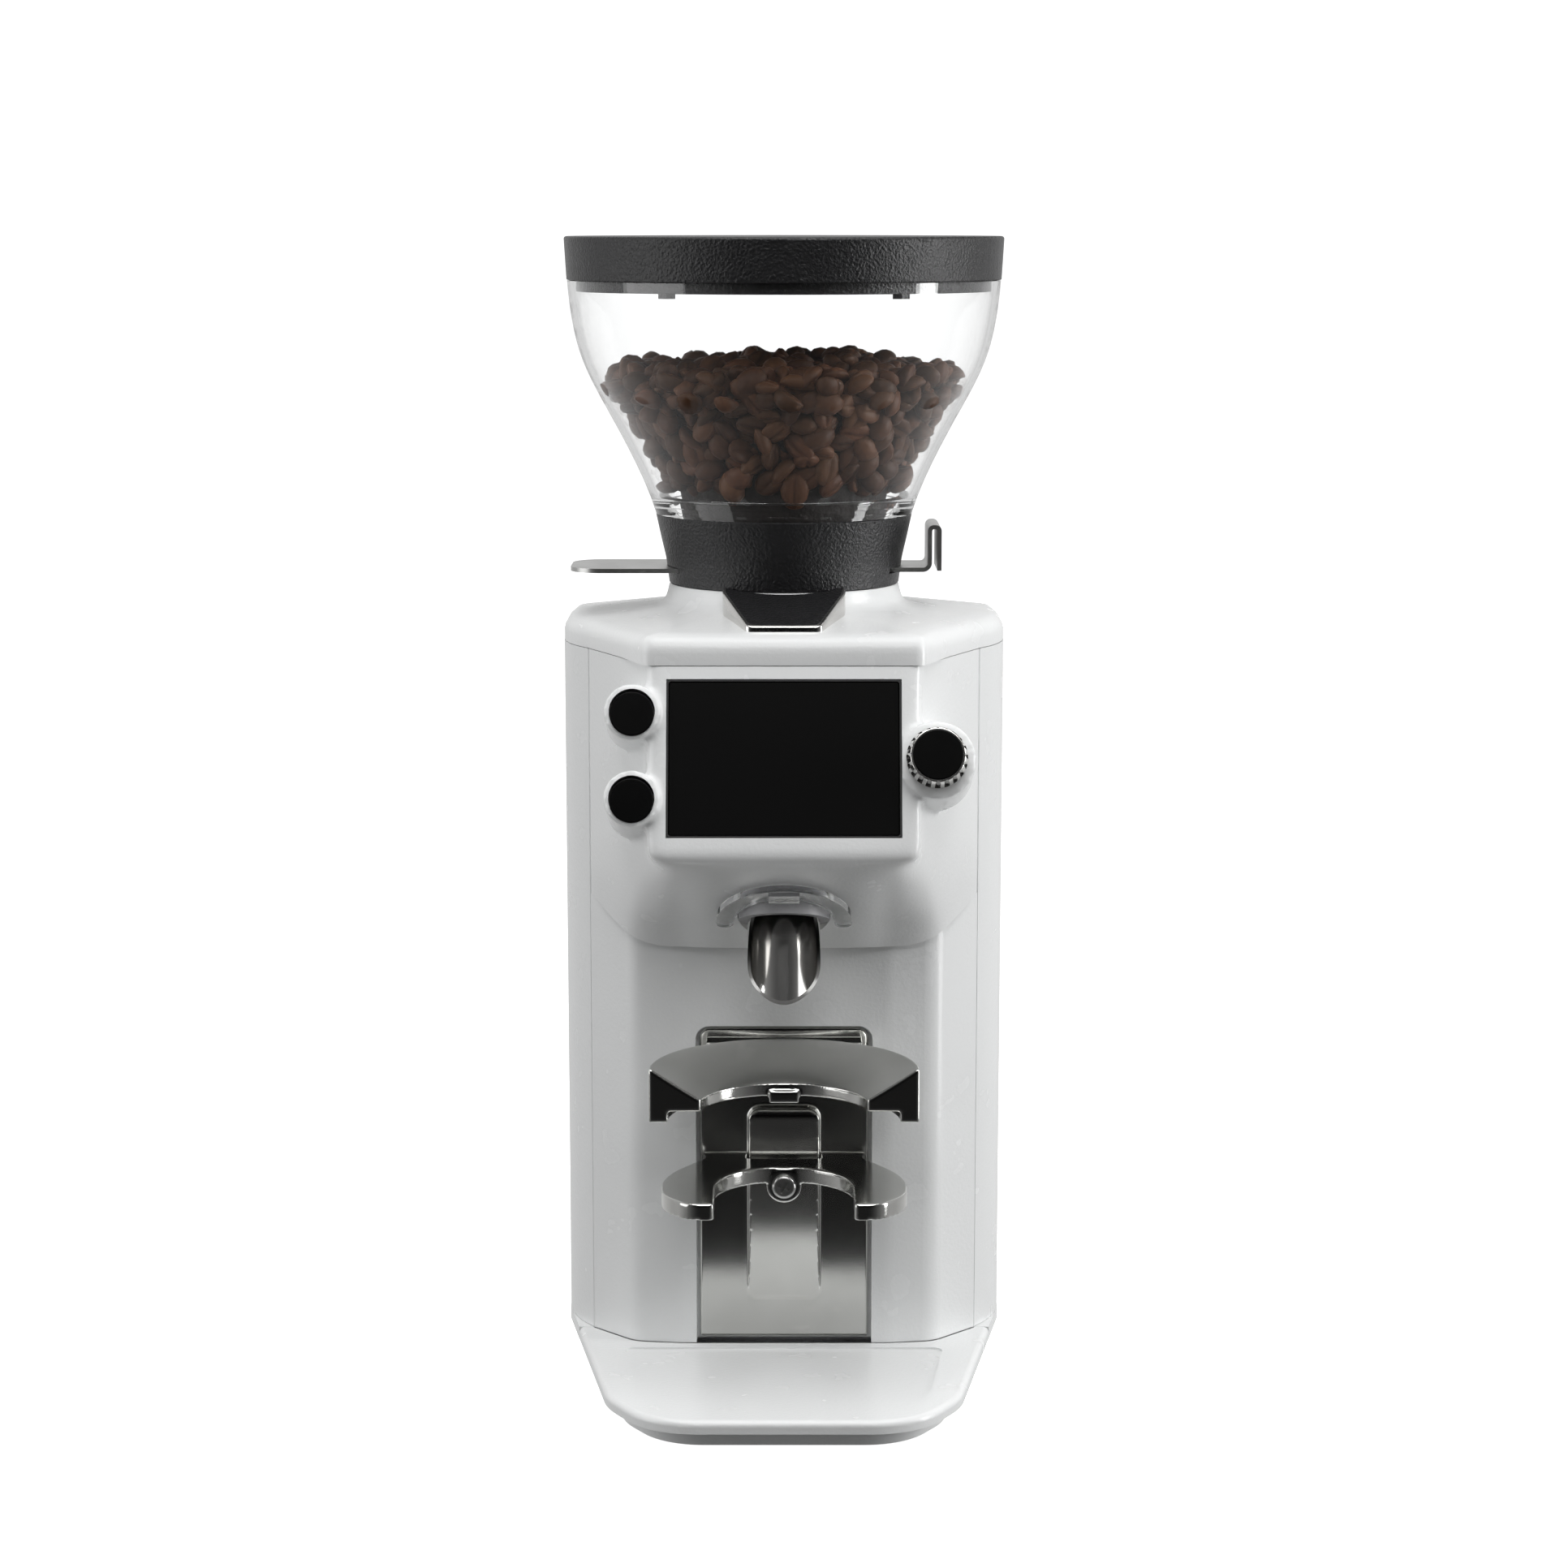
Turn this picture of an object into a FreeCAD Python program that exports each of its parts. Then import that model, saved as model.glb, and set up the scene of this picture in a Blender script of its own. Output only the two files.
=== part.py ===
import FreeCAD, Part
import math
import os

V = FreeCAD.Vector

# Burr coffee grinder. Millimetres, +Z up, the front faces -Y.
# The model is drawn about the grinding axis (X = Y = 0) and moved by AXIS_Y when it is
# written, so that the row's origin is the bottom centre of the footprint.

# ---- driving dimensions ----
AXIS_Y = 15.0            # from the footprint's centre back to the grinding axis
HALF_W = 97.5            # half the body's width
BACK_Y = 126.5           # back of the body
TRAY_Y = -156.5          # front of the tray
SHELL_Y = -31.0          # front edges of the side shell
SHELL_X = 85.3
WALL_Y = -53.8           # outer face of the front wall
DECK_Z = 14.5            # top of the base
LEDGE_Z = 8.8            # ledge that the tray lies on
SEAM_Z = 321.3           # joint between the body and its top cover
NECK_Z = 347.0           # top of the round neck
NECK_R = 50.6
COVER_FILLET = 6.5       # rounding of the top cover's rim
LID_Z = 498.0            # top of the hopper lid
SHEET = 2.5              # wall of the covers
GAP = 0.3                # between covers, and round pieces that move

# display face: a plane that leans back, given by its centre and its lean
FACE_Y = -104.2
FACE_Z = 283.9
LEAN = 16.8              # degrees back from upright
BOX_X = 57.3             # half the width of the display box
BOX_Z = 241.5            # lower edge of the display box
HEAD_FOOT_Z = 191.0      # where the head's underside would meet the wall
BUTTON_X = -63.3
BUTTON_Y = 18.2          # each side of the display's middle, along the face
BUTTON_R = 9.3
BUTTON_TRAVEL = 1.2
KNOB_X = 63.5

# chute: a tube that leans forward
CHUTE_Y = -80.0          # where its axis meets the head's underside
CHUTE_Z = 213.5
CHUTE_LEAN = 20.0
CHUTE_R = 15.5
CHUTE_WALL = 1.3

# drive train, stacked on the grinding axis
MOTOR_R = 42.0
MOTOR_Z = 135.0
PLATE_Z = 238.0          # underside of the motor plate
CHAMBER_Z = 242.0        # underside of the grind chamber
CHAMBER_R = 48.0
CHAMBER_TOP = 292.0
BURR_R = 32.5            # 65 mm burrs
BURR_Z = 258.0           # underside of the lower burr
BURR_T = 6.0
BURR_GAP = 0.4
BURR_SCREWS = [(24.8 * math.cos(a), 24.8 * math.sin(a)) for a in (0.0, math.tau / 3, math.tau * 2 / 3)]
SHAFT_R = 6.0
SPINDLE_R = 4.0          # of the grind adjuster
NUT_Y = 0.0              # where the nut sits when the adjuster is centred

# hopper
COLLAR_TOP = 377.7
THROAT_R = 20.5
GATE_Z = 352.9
GATE_T = 1.9

# portafilter holder
PLATE_Y = -49.0          # face of the steel back plate
PLATE_X = 37.1
HOOK_Y = -112.0
HOOK_R = 57.0
FORK_Z = 93.0
FORK_T = 7.0
FORK_SCREW_Z = 91.6      # axis of the screw that clamps the fork
HOOK_SCREWS = (-22, 22)
HOOK_SCREW_Z = 143
CELL_POSTS = (104.0, 118.0)
# base and rear cover
FEET = [(66, 92), (-66, 92), (48, -106), (-48, -106)]
BASE_SCREWS = [(70, 30), (-70, 30), (35, 100), (-35, 100), (60, -70), (-60, -70)]
SHELL_SCREWS = [(60, 24), (-60, 24), (60, 306), (-60, 306)]
INLET_X = 34.0
SWITCH_X = -34.0
MAINS_Z = 46.0           # height of the inlet and the switch
ROCKER_Y = BACK_Y - 4.0


# ---- drawing helpers ----

def outline(points):
    """Face inside a closed outline of (x, y, corner radius) points."""
    starts, mids, ends = [], [], []
    count = len(points)
    for i in range(count):
        x, y, radius = points[i]
        corner = V(x, y, 0)
        before = V(points[i - 1][0], points[i - 1][1], 0) - corner
        after = V(points[(i + 1) % count][0], points[(i + 1) % count][1], 0) - corner
        before.normalize()
        after.normalize()
        if radius == 0:
            starts.append(corner)
            mids.append(None)
            ends.append(corner)
            continue
        half = before.getAngle(after) / 2
        bisector = before + after
        bisector.normalize()
        reach = radius / math.tan(half)
        centre = corner + bisector * (radius / math.sin(half))
        starts.append(corner + before * reach)
        mids.append(centre - bisector * radius)
        ends.append(corner + after * reach)
    edges = []
    for i in range(count):
        if mids[i] is not None:
            edges.append(Part.Arc(starts[i], mids[i], ends[i]).toShape())
        following = starts[(i + 1) % count]
        if ends[i].distanceToPoint(following) > 1e-6:
            edges.append(Part.LineSegment(ends[i], following).toShape())
    return Part.Face(Part.Wire(edges))


def both_sides(half):
    """A half outline on the +X side, completed with its mirror image."""
    return half + [(-x, y, radius) for x, y, radius in reversed(half)]


def prism(points, low, high):
    """Solid over a plan outline, from one height to another."""
    face = outline(points)
    face.translate(V(0, 0, low))
    return face.extrude(V(0, 0, high - low))


def side_prism(points, low_x, high_x):
    """Solid over a (y, z) outline, from one X to another."""
    face = outline(points)
    face.rotate(V(0, 0, 0), V(1, 1, 1), 120)
    face.translate(V(low_x, 0, 0))
    return face.extrude(V(high_x - low_x, 0, 0))


def front_prism(points, low_y, high_y):
    """Solid over an (x, z) outline, from one Y to another."""
    face = outline(points)
    face.rotate(V(0, 0, 0), V(1, 0, 0), 90)
    face.translate(V(0, low_y, 0))
    return face.extrude(V(0, high_y - low_y, 0))


def lathe(points):
    """Solid turned about the grinding axis from an (r, z) outline."""
    face = outline(points)
    face.rotate(V(0, 0, 0), V(1, 0, 0), 90)
    return face.revolve(V(0, 0, 0), V(0, 0, 1), 360)


def box(low, high):
    """Block between two corners."""
    size = [high[k] - low[k] for k in range(3)]
    return Part.makeBox(size[0], size[1], size[2], V(*low))


def rod(radius, start, end):
    """Round bar between two points."""
    start = V(*start)
    run = V(*end) - start
    return Part.makeCylinder(radius, run.Length, start, run)


def ring(outer, inner, low, high, x=0.0, y=0.0):
    """Upright ring."""
    blank = rod(outer, (x, y, low), (x, y, high))
    return blank.cut(rod(inner, (x, y, low - 1), (x, y, high + 1)))


def on_face(shape):
    """Place a shape drawn on the display face: x across, y up the face, z outwards."""
    placed = shape.copy()
    placed.rotate(V(0, 0, 0), V(1, 0, 0), 90 - LEAN)
    placed.translate(V(0, FACE_Y, FACE_Z))
    return placed


def on_chute(shape):
    """Place a shape drawn about the chute: z down the tube, y towards its open side."""
    placed = shape.copy()
    placed.rotate(V(0, 0, 0), V(1, 0, 0), 180 - CHUTE_LEAN)
    placed.translate(V(0, CHUTE_Y, CHUTE_Z))
    return placed


def screw(head, direction, head_r=3.5, head_t=2.2, shank_r=1.8, length=9.0):
    """Pan-head screw whose head's top is at a point; the shank runs along direction."""
    way = V(*direction)
    way.normalize()
    top = V(*head)
    body = Part.makeCylinder(head_r, head_t, top, way)
    shank = Part.makeCylinder(shank_r, length, top + way * head_t, way)
    slot = Part.makeCylinder(head_r * 0.35, head_t * 0.5, top, way)
    return body.fuse(shank).cut(slot)


def group(solids):
    """Several separate solids in one node."""
    return Part.makeCompound(solids)


def largest(shape):
    """The main solid, without slivers left by a cut."""
    return max(shape.Solids, key=lambda solid: solid.Volume)


def write(name, shape):
    """Write a node in the row's frame."""
    placed = shape.copy()
    placed.translate(V(0, AXIS_Y, 0))
    placed.exportStep("parts/" + name + ".step")


# ---- outlines shared by the covers ----

def body_points(inset=0.0):
    """Right half of the body's plan, from the back to the side shell's front edge."""
    points = [(HALF_W - inset, BACK_Y - inset, 31.5 - inset)]
    points.append((HALF_W - inset, -13.6 + 0.32 * inset, 60.0 - inset))
    return points


def tray_points():
    """Right half of the base's front, from the side to the middle of the tray's edge."""
    return [(HALF_W, 0.0, 0), (75.0, -124.0, 45), (56.0, TRAY_Y, 34)]


def wall_points():
    """Right half of the front wall's plan, from the shell's edge to the recess."""
    return [(SHELL_X - GAP, SHELL_Y - 0.5, 0), (66.0, -51.0, 14), (46.0, WALL_Y, 30)]


# ---- base ----

def make_base_frame():
    """Cast base: rear deck, front ledge and inset skirt, open underneath."""
    deck = prism(both_sides([(HALF_W, BACK_Y, 31.5), (HALF_W, SHELL_Y, 0)]), LEDGE_Z, DECK_Z)
    trim = [(HALF_W + 5, BACK_Y + 5, 0), (HALF_W + 5, 0, 0)] + tray_points()
    deck = deck.common(prism(both_sides(trim), 0, DECK_Z))
    skirt_half = [(88.5, 117.5, 24), (88.5, 0, 0), (67.5, -120, 38), (50.0, TRAY_Y + 9, 30)]
    pocket_half = [(84.0, 113.0, 20), (84.0, 0, 0), (63.0, -117, 34), (48.0, TRAY_Y + 13.5, 26)]
    skirt = prism(both_sides(skirt_half), 1.2, LEDGE_Z)
    base = skirt.fuse(deck)
    base = base.cut(prism(both_sides(pocket_half), 0, 5.6))
    for x, y in FEET:
        base = base.fuse(rod(13, (x, y, 3.0), (x, y, 5.6)))
    for x, y in BASE_SCREWS:
        base = base.fuse(rod(5, (x, y, 4.6), (x, y, 5.7)))
        base = base.cut(rod(1.8, (x, y, 3.0), (x, y, 8.0)))
    return base.removeSplitter()


def make_feet():
    """Four rubber pads with a chamfered rim."""
    feet = []
    for x, y in FEET:
        pad = lathe([(0, 0, 0), (10.4, 0, 1.0), (11, 3.0, 0), (0, 3.0, 0)])
        pad.translate(V(x, y, 0))
        feet.append(pad)
    return group(feet)


def make_bottom_plate():
    """Sheet steel plate under the base, with air slots, clear of the feet."""
    half = [(83.0, 112.0, 19), (83.0, 0, 0), (62.2, -116, 33), (47.5, TRAY_Y + 14.5, 25)]
    plate = prism(both_sides(half), 3.4, 4.6)
    for x, y in FEET:
        plate = plate.cut(rod(14, (x, y, 3), (x, y, 5)))
    for x, y in BASE_SCREWS:
        plate = plate.cut(rod(1.8, (x, y, 3), (x, y, 5)))
    for i in range(7):
        y = -20 + 10 * i
        plate = plate.cut(box((-30, y, 3), (30, y + 4, 5)))
    return plate


def make_bottom_screws():
    """Screws of the bottom plate."""
    return group([screw((x, y, 1.6), (0, 0, 1), 3.2, 1.8, 1.8, 4.4) for x, y in BASE_SCREWS])


def make_grounds_tray():
    """Tray in front of the wall, with a shallow dish, open at the back for the wall."""
    side, corner, front = tray_points()
    back_y = SHELL_Y - GAP
    back_x = side[0] + (corner[0] - side[0]) * back_y / corner[1]
    half = [(back_x, back_y, 0), corner, front]
    tray = prism(both_sides(half), LEDGE_Z + 0.2, DECK_Z)
    top = [edge for edge in tray.Edges if min(v.Z for v in edge.Vertexes) > DECK_Z - 0.01
           and edge.CenterOfMass.y < SHELL_Y - 5]
    tray = tray.makeFillet(2.6, top)
    dish_half = [(70.0, -60.0, 4), (62.0, -122.0, 34), (46.0, TRAY_Y + 12, 26)]
    tray = tray.cut(prism(both_sides(dish_half), DECK_Z - 0.9, DECK_Z + 1))
    notch_half = [(SHELL_X, -20.0, 0), (SHELL_X, SHELL_Y - 1.0, 0), (66.2, -51.5, 14),
                  (46.0, WALL_Y - GAP, 30)]
    return largest(tray.cut(prism(both_sides(notch_half), 0, DECK_Z + 1)))


# ---- covers ----

def make_side_shell():
    """Wrap-round cover of the sides and back, with air slots and cut-outs for the mains."""
    outer = prism(both_sides(body_points() + [(SHELL_X, SHELL_Y, 0)]), DECK_Z + 0.2, SEAM_Z - GAP)
    inner_half = [(HALF_W - SHEET, BACK_Y - SHEET, 29), (HALF_W - SHEET, -12.8, 57.5), (80.7, -33.3, 0)]
    shell = outer.cut(prism(both_sides(inner_half), 0, SEAM_Z + 1))
    for row in range(10):
        z = 208 + 8 * row
        for x in (-52, 4):
            slot = front_prism([(x, z, 1.6), (x + 48, z, 1.6), (x + 48, z + 3.4, 1.6), (x, z + 3.4, 1.6)],
                               BACK_Y - 6, BACK_Y + 2)
            shell = shell.cut(slot)
    shell = shell.cut(box((INLET_X - 13.6, BACK_Y - 6, MAINS_Z - 10.2),
                          (INLET_X + 13.6, BACK_Y + 2, MAINS_Z + 10.2)))
    shell = shell.cut(box((SWITCH_X - 9.6, BACK_Y - 6, MAINS_Z - 6.6),
                          (SWITCH_X + 9.6, BACK_Y + 2, MAINS_Z + 6.6)))
    for x, z in SHELL_SCREWS:
        shell = shell.cut(rod(1.8, (x, BACK_Y - 8, z), (x, BACK_Y + 3, z)))
    return shell


def make_shell_screws():
    """Screws that hold the side shell at the back."""
    return group([screw((x, BACK_Y, z), (0, -1, 0), 1.8, 1.2, 1.5, 9.0) for x, z in SHELL_SCREWS])


def seam_points(rise=0.0):
    """Front view of what lies below the curved seam between the wall and the head."""
    return both_sides([(95.0, 0.0, 0), (95.0, 222.0 + rise, 0), (80.0, 208.5 + rise, 18),
                       (62.0, 193.8 + rise, 40)])


def make_front_panel():
    """Front wall with its side flanks and the recess for the holder."""
    outer = prism(both_sides([(SHELL_X - 0.3, -20.0, 0)] + wall_points()), DECK_Z + 0.2, 230)
    inner_half = [(82.0, -15.0, 0), (82.0, -31.3, 0), (64.6, -48.4, 12), (45.6, WALL_Y + SHEET, 28)]
    sheet = outer.cut(prism(both_sides(inner_half), 0, 240))
    sheet = sheet.common(box((-100, -80, 0), (100, SHELL_Y - 0.2, 240)))
    sheet = sheet.common(front_prism(seam_points(), -80, 0))
    liner = front_prism(both_sides([(41.1, DECK_Z + 0.2, 0), (41.1, 160.5, 8)]), WALL_Y + 0.1, -43.5)
    pocket = front_prism(both_sides([(38.6, 0.0, 0), (38.6, 158.0, 6)]), -80, -46.0)
    panel = sheet.fuse(liner).cut(pocket)
    for z in CELL_POSTS:
        panel = panel.cut(rod(6.5, (0, -50, z), (0, -40, z)))
    return largest(panel)


def head_form(inset):
    """The head as a solid: cheeks and display box above, swept underside below."""
    slant = math.tan(math.radians(LEAN))
    depth = inset / math.cos(math.radians(LEAN))
    top_z = SEAM_Z + 8 if inset else SEAM_Z - GAP
    front_low = FACE_Y + (BOX_Z - FACE_Z) * slant + depth
    front_top = FACE_Y + (top_z - FACE_Z) * slant + depth
    cheek = [(SHELL_X + 5.2 - inset, -21.0), (SHELL_X - inset, SHELL_Y), (69.8 - inset, -63.5),
             (BOX_X + 1.2 - inset, -88.0)]
    foot = [(SHELL_X + 5.2 - inset, -21.0), (SHELL_X - inset, SHELL_Y), (66.0 - inset, -51.0 + 0.5 * inset),
            (52.0, WALL_Y + 0.5 + inset), (42.0, WALL_Y + inset)]
    levels = [(top_z, cheek + [(BOX_X - inset, front_top)]),
              (BOX_Z + inset, cheek + [(BOX_X - inset, front_low)]),
              (HEAD_FOOT_Z - (4 if inset else 0), foot)]
    wires = []
    for z, half in levels:
        loop = half + [(-x, y) for x, y in reversed(half)]
        wires.append(Part.makePolygon([V(x, y, z) for x, y in loop + loop[:1]]))
    upper = Part.makeLoft(wires[:2], True, True)
    lower = Part.makeLoft(wires[1:], True, True)
    return upper.fuse(lower).removeSplitter()


def face_cylinder(x, y, radius, low, high):
    """Round bar square to the display face, placed on it."""
    return on_face(rod(radius, (x, y, low), (x, y, high)))


def make_head():
    """Shell of the head with its bosses and openings."""
    outer = head_form(0.0)
    rim = [edge for edge in outer.Edges if is_box_edge(edge)]
    outer = outer.makeFillet(3.5, rim)
    bosses = [(BUTTON_X, BUTTON_Y, 11.8), (BUTTON_X, -BUTTON_Y, 11.8), (KNOB_X, -0.4, 16.4)]
    for x, y, radius in bosses:
        outer = outer.fuse(face_cylinder(x, y, radius, -66, 3.0))
    head = outer.cut(head_form(SHEET + 0.5))
    for x, y, radius in bosses:
        head = head.cut(face_cylinder(x, y, radius - 2.2, -70, 1.0))
    for y in (BUTTON_Y, -BUTTON_Y):
        head = head.cut(face_cylinder(BUTTON_X, y, BUTTON_R + GAP, -2, 6))
    head = head.cut(face_cylinder(KNOB_X, -0.4, 6.5, -2, 6))
    head = head.cut(on_face(box((-49.0, -33.3, -20), (49.0, 33.3, 5))))
    head = head.cut(on_chute(rod(CHUTE_R + 4.3, (0, 0, -20), (0, 0, 20))))
    head = head.common(box((-100, -140, 194.1), (100, SHELL_Y - 0.2, SEAM_Z - GAP)))
    head = head.cut(front_prism(seam_points(0.3), -80, 0))
    return largest(head)


def is_box_edge(edge):
    """Whether an edge is one of the display box's front corners or its lower edge."""
    middle = edge.CenterOfMass
    upright = abs(middle.x) > 50 and middle.y < -95 and edge.Length > 60
    across = abs(middle.x) < 1 and abs(middle.z - BOX_Z) < 0.1 and middle.y < -95
    return upright or across


def cover_half(inset):
    """Right half of the top cover's plan."""
    return body_points(inset) + [(SHELL_X - inset, SHELL_Y, 0), (69.8 - inset, -63.5, 20 + inset),
                                 (58.5 - inset, -93.2 + inset, max(4.0 - inset, 1.0))]


def cover_form():
    """Outer form of the top cover without its hollow."""
    slab = prism(both_sides(cover_half(0.0)), SEAM_Z, 332.0)
    rim = [edge for edge in slab.Edges if min(v.Z for v in edge.Vertexes) > 331.9]
    slab = slab.makeFillet(COVER_FILLET, rim)
    dome = lathe([(0, 326, 0), (95.5, 326, 0), (95.5, 328.5, 0), (89.5, 333.3, 12), (74, 337.0, 60),
                  (52.6, 340.5, 5), (NECK_R, NECK_Z, 0), (0, NECK_Z, 0)])
    inside = prism(both_sides(cover_half(3.0)), 320, 350)
    return slab.fuse(dome.common(inside)).removeSplitter()


def make_top_cover():
    """Top cover: shell with the round neck that the hopper's collar stands on."""
    cover = cover_form()
    cover = cover.cut(prism(both_sides(cover_half(SHEET)), SEAM_Z - 1, 328.6))
    cover = cover.cut(lathe([(0, 320, 0), (84, 320, 0), (84, 331.5, 0), (56, 336, 0), (47.5, 338, 0),
                             (47.5, 343.8, 0), (0, 343.8, 0)]))
    cover = cover.cut(rod(34.0, (0, 0, 340), (0, 0, 350)))
    return largest(cover)


def badge_blank(inset, low):
    """Wedge-shaped badge block under the collar."""
    wedge = side_prism([(-44.0, 330.0, 0), (-44.0, NECK_Z - low, 0), (-52.0, NECK_Z - low, 0),
                        (-80.5 + inset, 334.6 - low, 0), (-80.5 + inset, 330.0, 0)], -30, 30)
    plan = prism(both_sides([(25.6 - inset, -40.0, 0), (25.6 - inset, -50.0, 3),
                             (16.0 - inset * 0.8, -80.5 + inset, 3.5)]), 325, 350)
    return wedge.common(plan)


def make_badge_frame():
    """Bright border of the badge."""
    recess = badge_blank(1.5, -5.0).cut(badge_blank(0.0, 1.8))
    return largest(badge_blank(0.0, 0.0).cut(cover_form()).cut(recess))


def make_badge_plate():
    """Dark face of the badge, slightly below its border."""
    return largest(badge_blank(1.5, 0.35).cut(badge_blank(0.0, 1.8)).cut(cover_form()))


# ---- display, buttons and knob ----

def face_plate(half_x, half_y, corner, low, high):
    """Rounded slab on the display face."""
    points = [(half_x, half_y, corner), (-half_x, half_y, corner),
              (-half_x, -half_y, corner), (half_x, -half_y, corner)]
    return prism(points, low, high)


def make_display_bezel():
    """Dark frame that the glass sits in."""
    frame = face_plate(49.0, 33.3, 1.6, -4.0, -0.2)
    return on_face(frame.cut(face_plate(48.2, 32.5, 1.2, -2.6, 1)).cut(face_plate(45.0, 29.0, 1, -5, 1)))


def make_display_glass():
    """Cover glass with a chamfered rim."""
    glass = face_plate(48.2, 32.5, 1.2, -2.6, -0.4)
    rim = [edge for edge in glass.Edges if min(v.Z for v in edge.Vertexes) > -0.5]
    return on_face(glass.makeChamfer(0.7, rim))


def make_display_module():
    """Liquid crystal panel on its circuit board, with the processor and two sockets."""
    panel = face_plate(47.5, 31.5, 0.8, -8.0, -4.0)
    board = face_plate(48.5, 33.0, 1.5, -9.6, -8.0)
    chip = box((-8, -8, -11.2), (8, 8, -9.6))
    sockets = box((-40, -28, -14), (-20, -22, -9.6)).fuse(box((20, -28, -14), (40, -22, -9.6)))
    return on_face(panel.fuse(board).fuse(chip).fuse(sockets))


def make_button(y):
    """Button cap: a disc with a stem and a retaining flange behind the boss."""
    cap = lathe([(0, -2.0, 0), (BUTTON_R, -2.0, 0), (BUTTON_R, 4.2, 0.5), (0, 4.2, 0)])
    flange = rod(8.9, (0, 0, -2.6), (0, 0, -2.0))
    stem = rod(2.5, (0, 0, -12.0), (0, 0, -2.6))
    button = cap.fuse(flange).fuse(stem)
    button.translate(V(BUTTON_X, y, 0))
    return on_face(button.removeSplitter())


def make_button_switches():
    """Two push switches on round boards, one in each button's boss."""
    switches = []
    for y in (BUTTON_Y, -BUTTON_Y):
        board = rod(9.4, (BUTTON_X, y, -19.5), (BUTTON_X, y, -18.0))
        board = board.fuse(box((BUTTON_X - 3, y - 3, -18.0), (BUTTON_X + 3, y + 3, -14.6)))
        board = board.fuse(rod(1.7, (BUTTON_X, y, -14.6), (BUTTON_X, y, -12.0 - BUTTON_TRAVEL - 0.1)))
        switches.append(on_face(board))
    return group(switches)


def make_knob_bushing():
    """Flanged brass bush in the knob's boss."""
    bush = rod(6.4, (0, 0, -8.0), (0, 0, 3.0)).fuse(rod(9.0, (0, 0, -8.0), (0, 0, 1.0)))
    bush = bush.cut(rod(SPINDLE_R + 0.06, (0, 0, -10), (0, 0, 5)))
    bush.translate(V(KNOB_X, -0.4, 0))
    return on_face(bush)


def make_knob_ring():
    """Notched metal ring with a coned rim."""
    blank = lathe([(0, 3.4, 0), (12.8, 3.4, 0.5), (12.8, 6.6, 0.6), (11.4, 14.0, 0.6), (0, 14.0, 0)])
    blank = blank.cut(lathe([(0, 9.0, 0), (10.5, 9.0, 0), (10.5, 15.0, 0), (0, 15.0, 0)]))
    blank = blank.cut(rod(SPINDLE_R, (0, 0, 0), (0, 0, 10)))
    for i in range(20):
        angle = math.radians(18 * i)
        notch = rod(1.25, (13.3 * math.cos(angle), 13.3 * math.sin(angle), 5.0),
                    (12.2 * math.cos(angle), 12.2 * math.sin(angle), 15.0))
        blank = blank.cut(notch)
    blank.translate(V(KNOB_X, -0.4, 0))
    return on_face(largest(blank))


def make_knob_cap():
    """Black face pressed in the ring."""
    cap = lathe([(0, 9.0, 0), (10.5, 9.0, 0), (10.5, 14.4, 0.5), (0, 14.4, 0)])
    cap.translate(V(KNOB_X, -0.4, 0))
    return on_face(cap)


def depth_at(y):
    """How far behind the display face the spindle's axis is at a given Y of the model."""
    lean = math.radians(LEAN)
    return (FACE_Y - 0.4 * math.sin(lean) - y) / math.cos(lean)


def make_knob_spindle():
    """Spindle from the knob back to the adjuster nut, with a grooved thread at its end."""
    nut = depth_at(NUT_Y)
    shaft = rod(SPINDLE_R, (0, 0, nut - 14), (0, 0, 9.0))
    for i in range(9):
        low = nut - 13 + 3 * i
        shaft = shaft.cut(ring(SPINDLE_R + 1, SPINDLE_R - 0.6, low, low + 1.2))
    shaft.translate(V(KNOB_X, -0.4, 0))
    return on_face(shaft)


def make_adjuster_nut():
    """Nut block with an upright pin that turns the adjuster ring."""
    nut = depth_at(NUT_Y)
    block = box((-6.5, -7, nut - 6), (6.5, 7, nut + 6))
    block = block.cut(rod(SPINDLE_R + 0.06, (0, 0, nut - 8), (0, 0, nut + 8)))
    block.translate(V(KNOB_X, -0.4, 0))
    block = on_face(block)
    centre_z = FACE_Z - (NUT_Y - FACE_Y) * math.tan(math.radians(LEAN)) - 0.4
    return block.fuse(rod(2.5, (KNOB_X, NUT_Y, centre_z + 5.5), (KNOB_X, NUT_Y, CHAMBER_TOP + 6)))


# ---- chute and its light ----

def make_chute_tube():
    """Steel tube with a scooped front, from the chamber's outlet down to the portafilter."""
    tube = rod(CHUTE_R, (0, 0, -48), (0, 0, 38)).cut(rod(CHUTE_R - CHUTE_WALL, (0, 0, -50), (0, 0, 40)))
    curve = Part.BSplineCurve()
    curve.interpolate([V(0, 17, -4.8), V(0, 5.9, 4.4), V(0, 0, 20.9), V(0, -11.8, 33.2), V(0, -17, 39.5)])
    edges = [curve.toShape()]
    corners = [V(0, -17, 39.5), V(0, -17, 60), V(0, 40, 60), V(0, 40, -4.8), V(0, 17, -4.8)]
    for start, end in zip(corners, corners[1:]):
        edges.append(Part.LineSegment(start, end).toShape())
    scoop = Part.Face(Part.Wire(edges))
    scoop.translate(V(-20, 0, 0))
    return largest(on_chute(tube.cut(scoop.extrude(V(40, 0, 0)))))


def make_chute_collar():
    """Grey ring that closes the gap between the tube and the head."""
    collar = rod(CHUTE_R + 4.0, (0, 0, -9), (0, 0, 3.0)).cut(rod(CHUTE_R, (0, 0, -20), (0, 0, 20)))
    return on_chute(collar)


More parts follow.
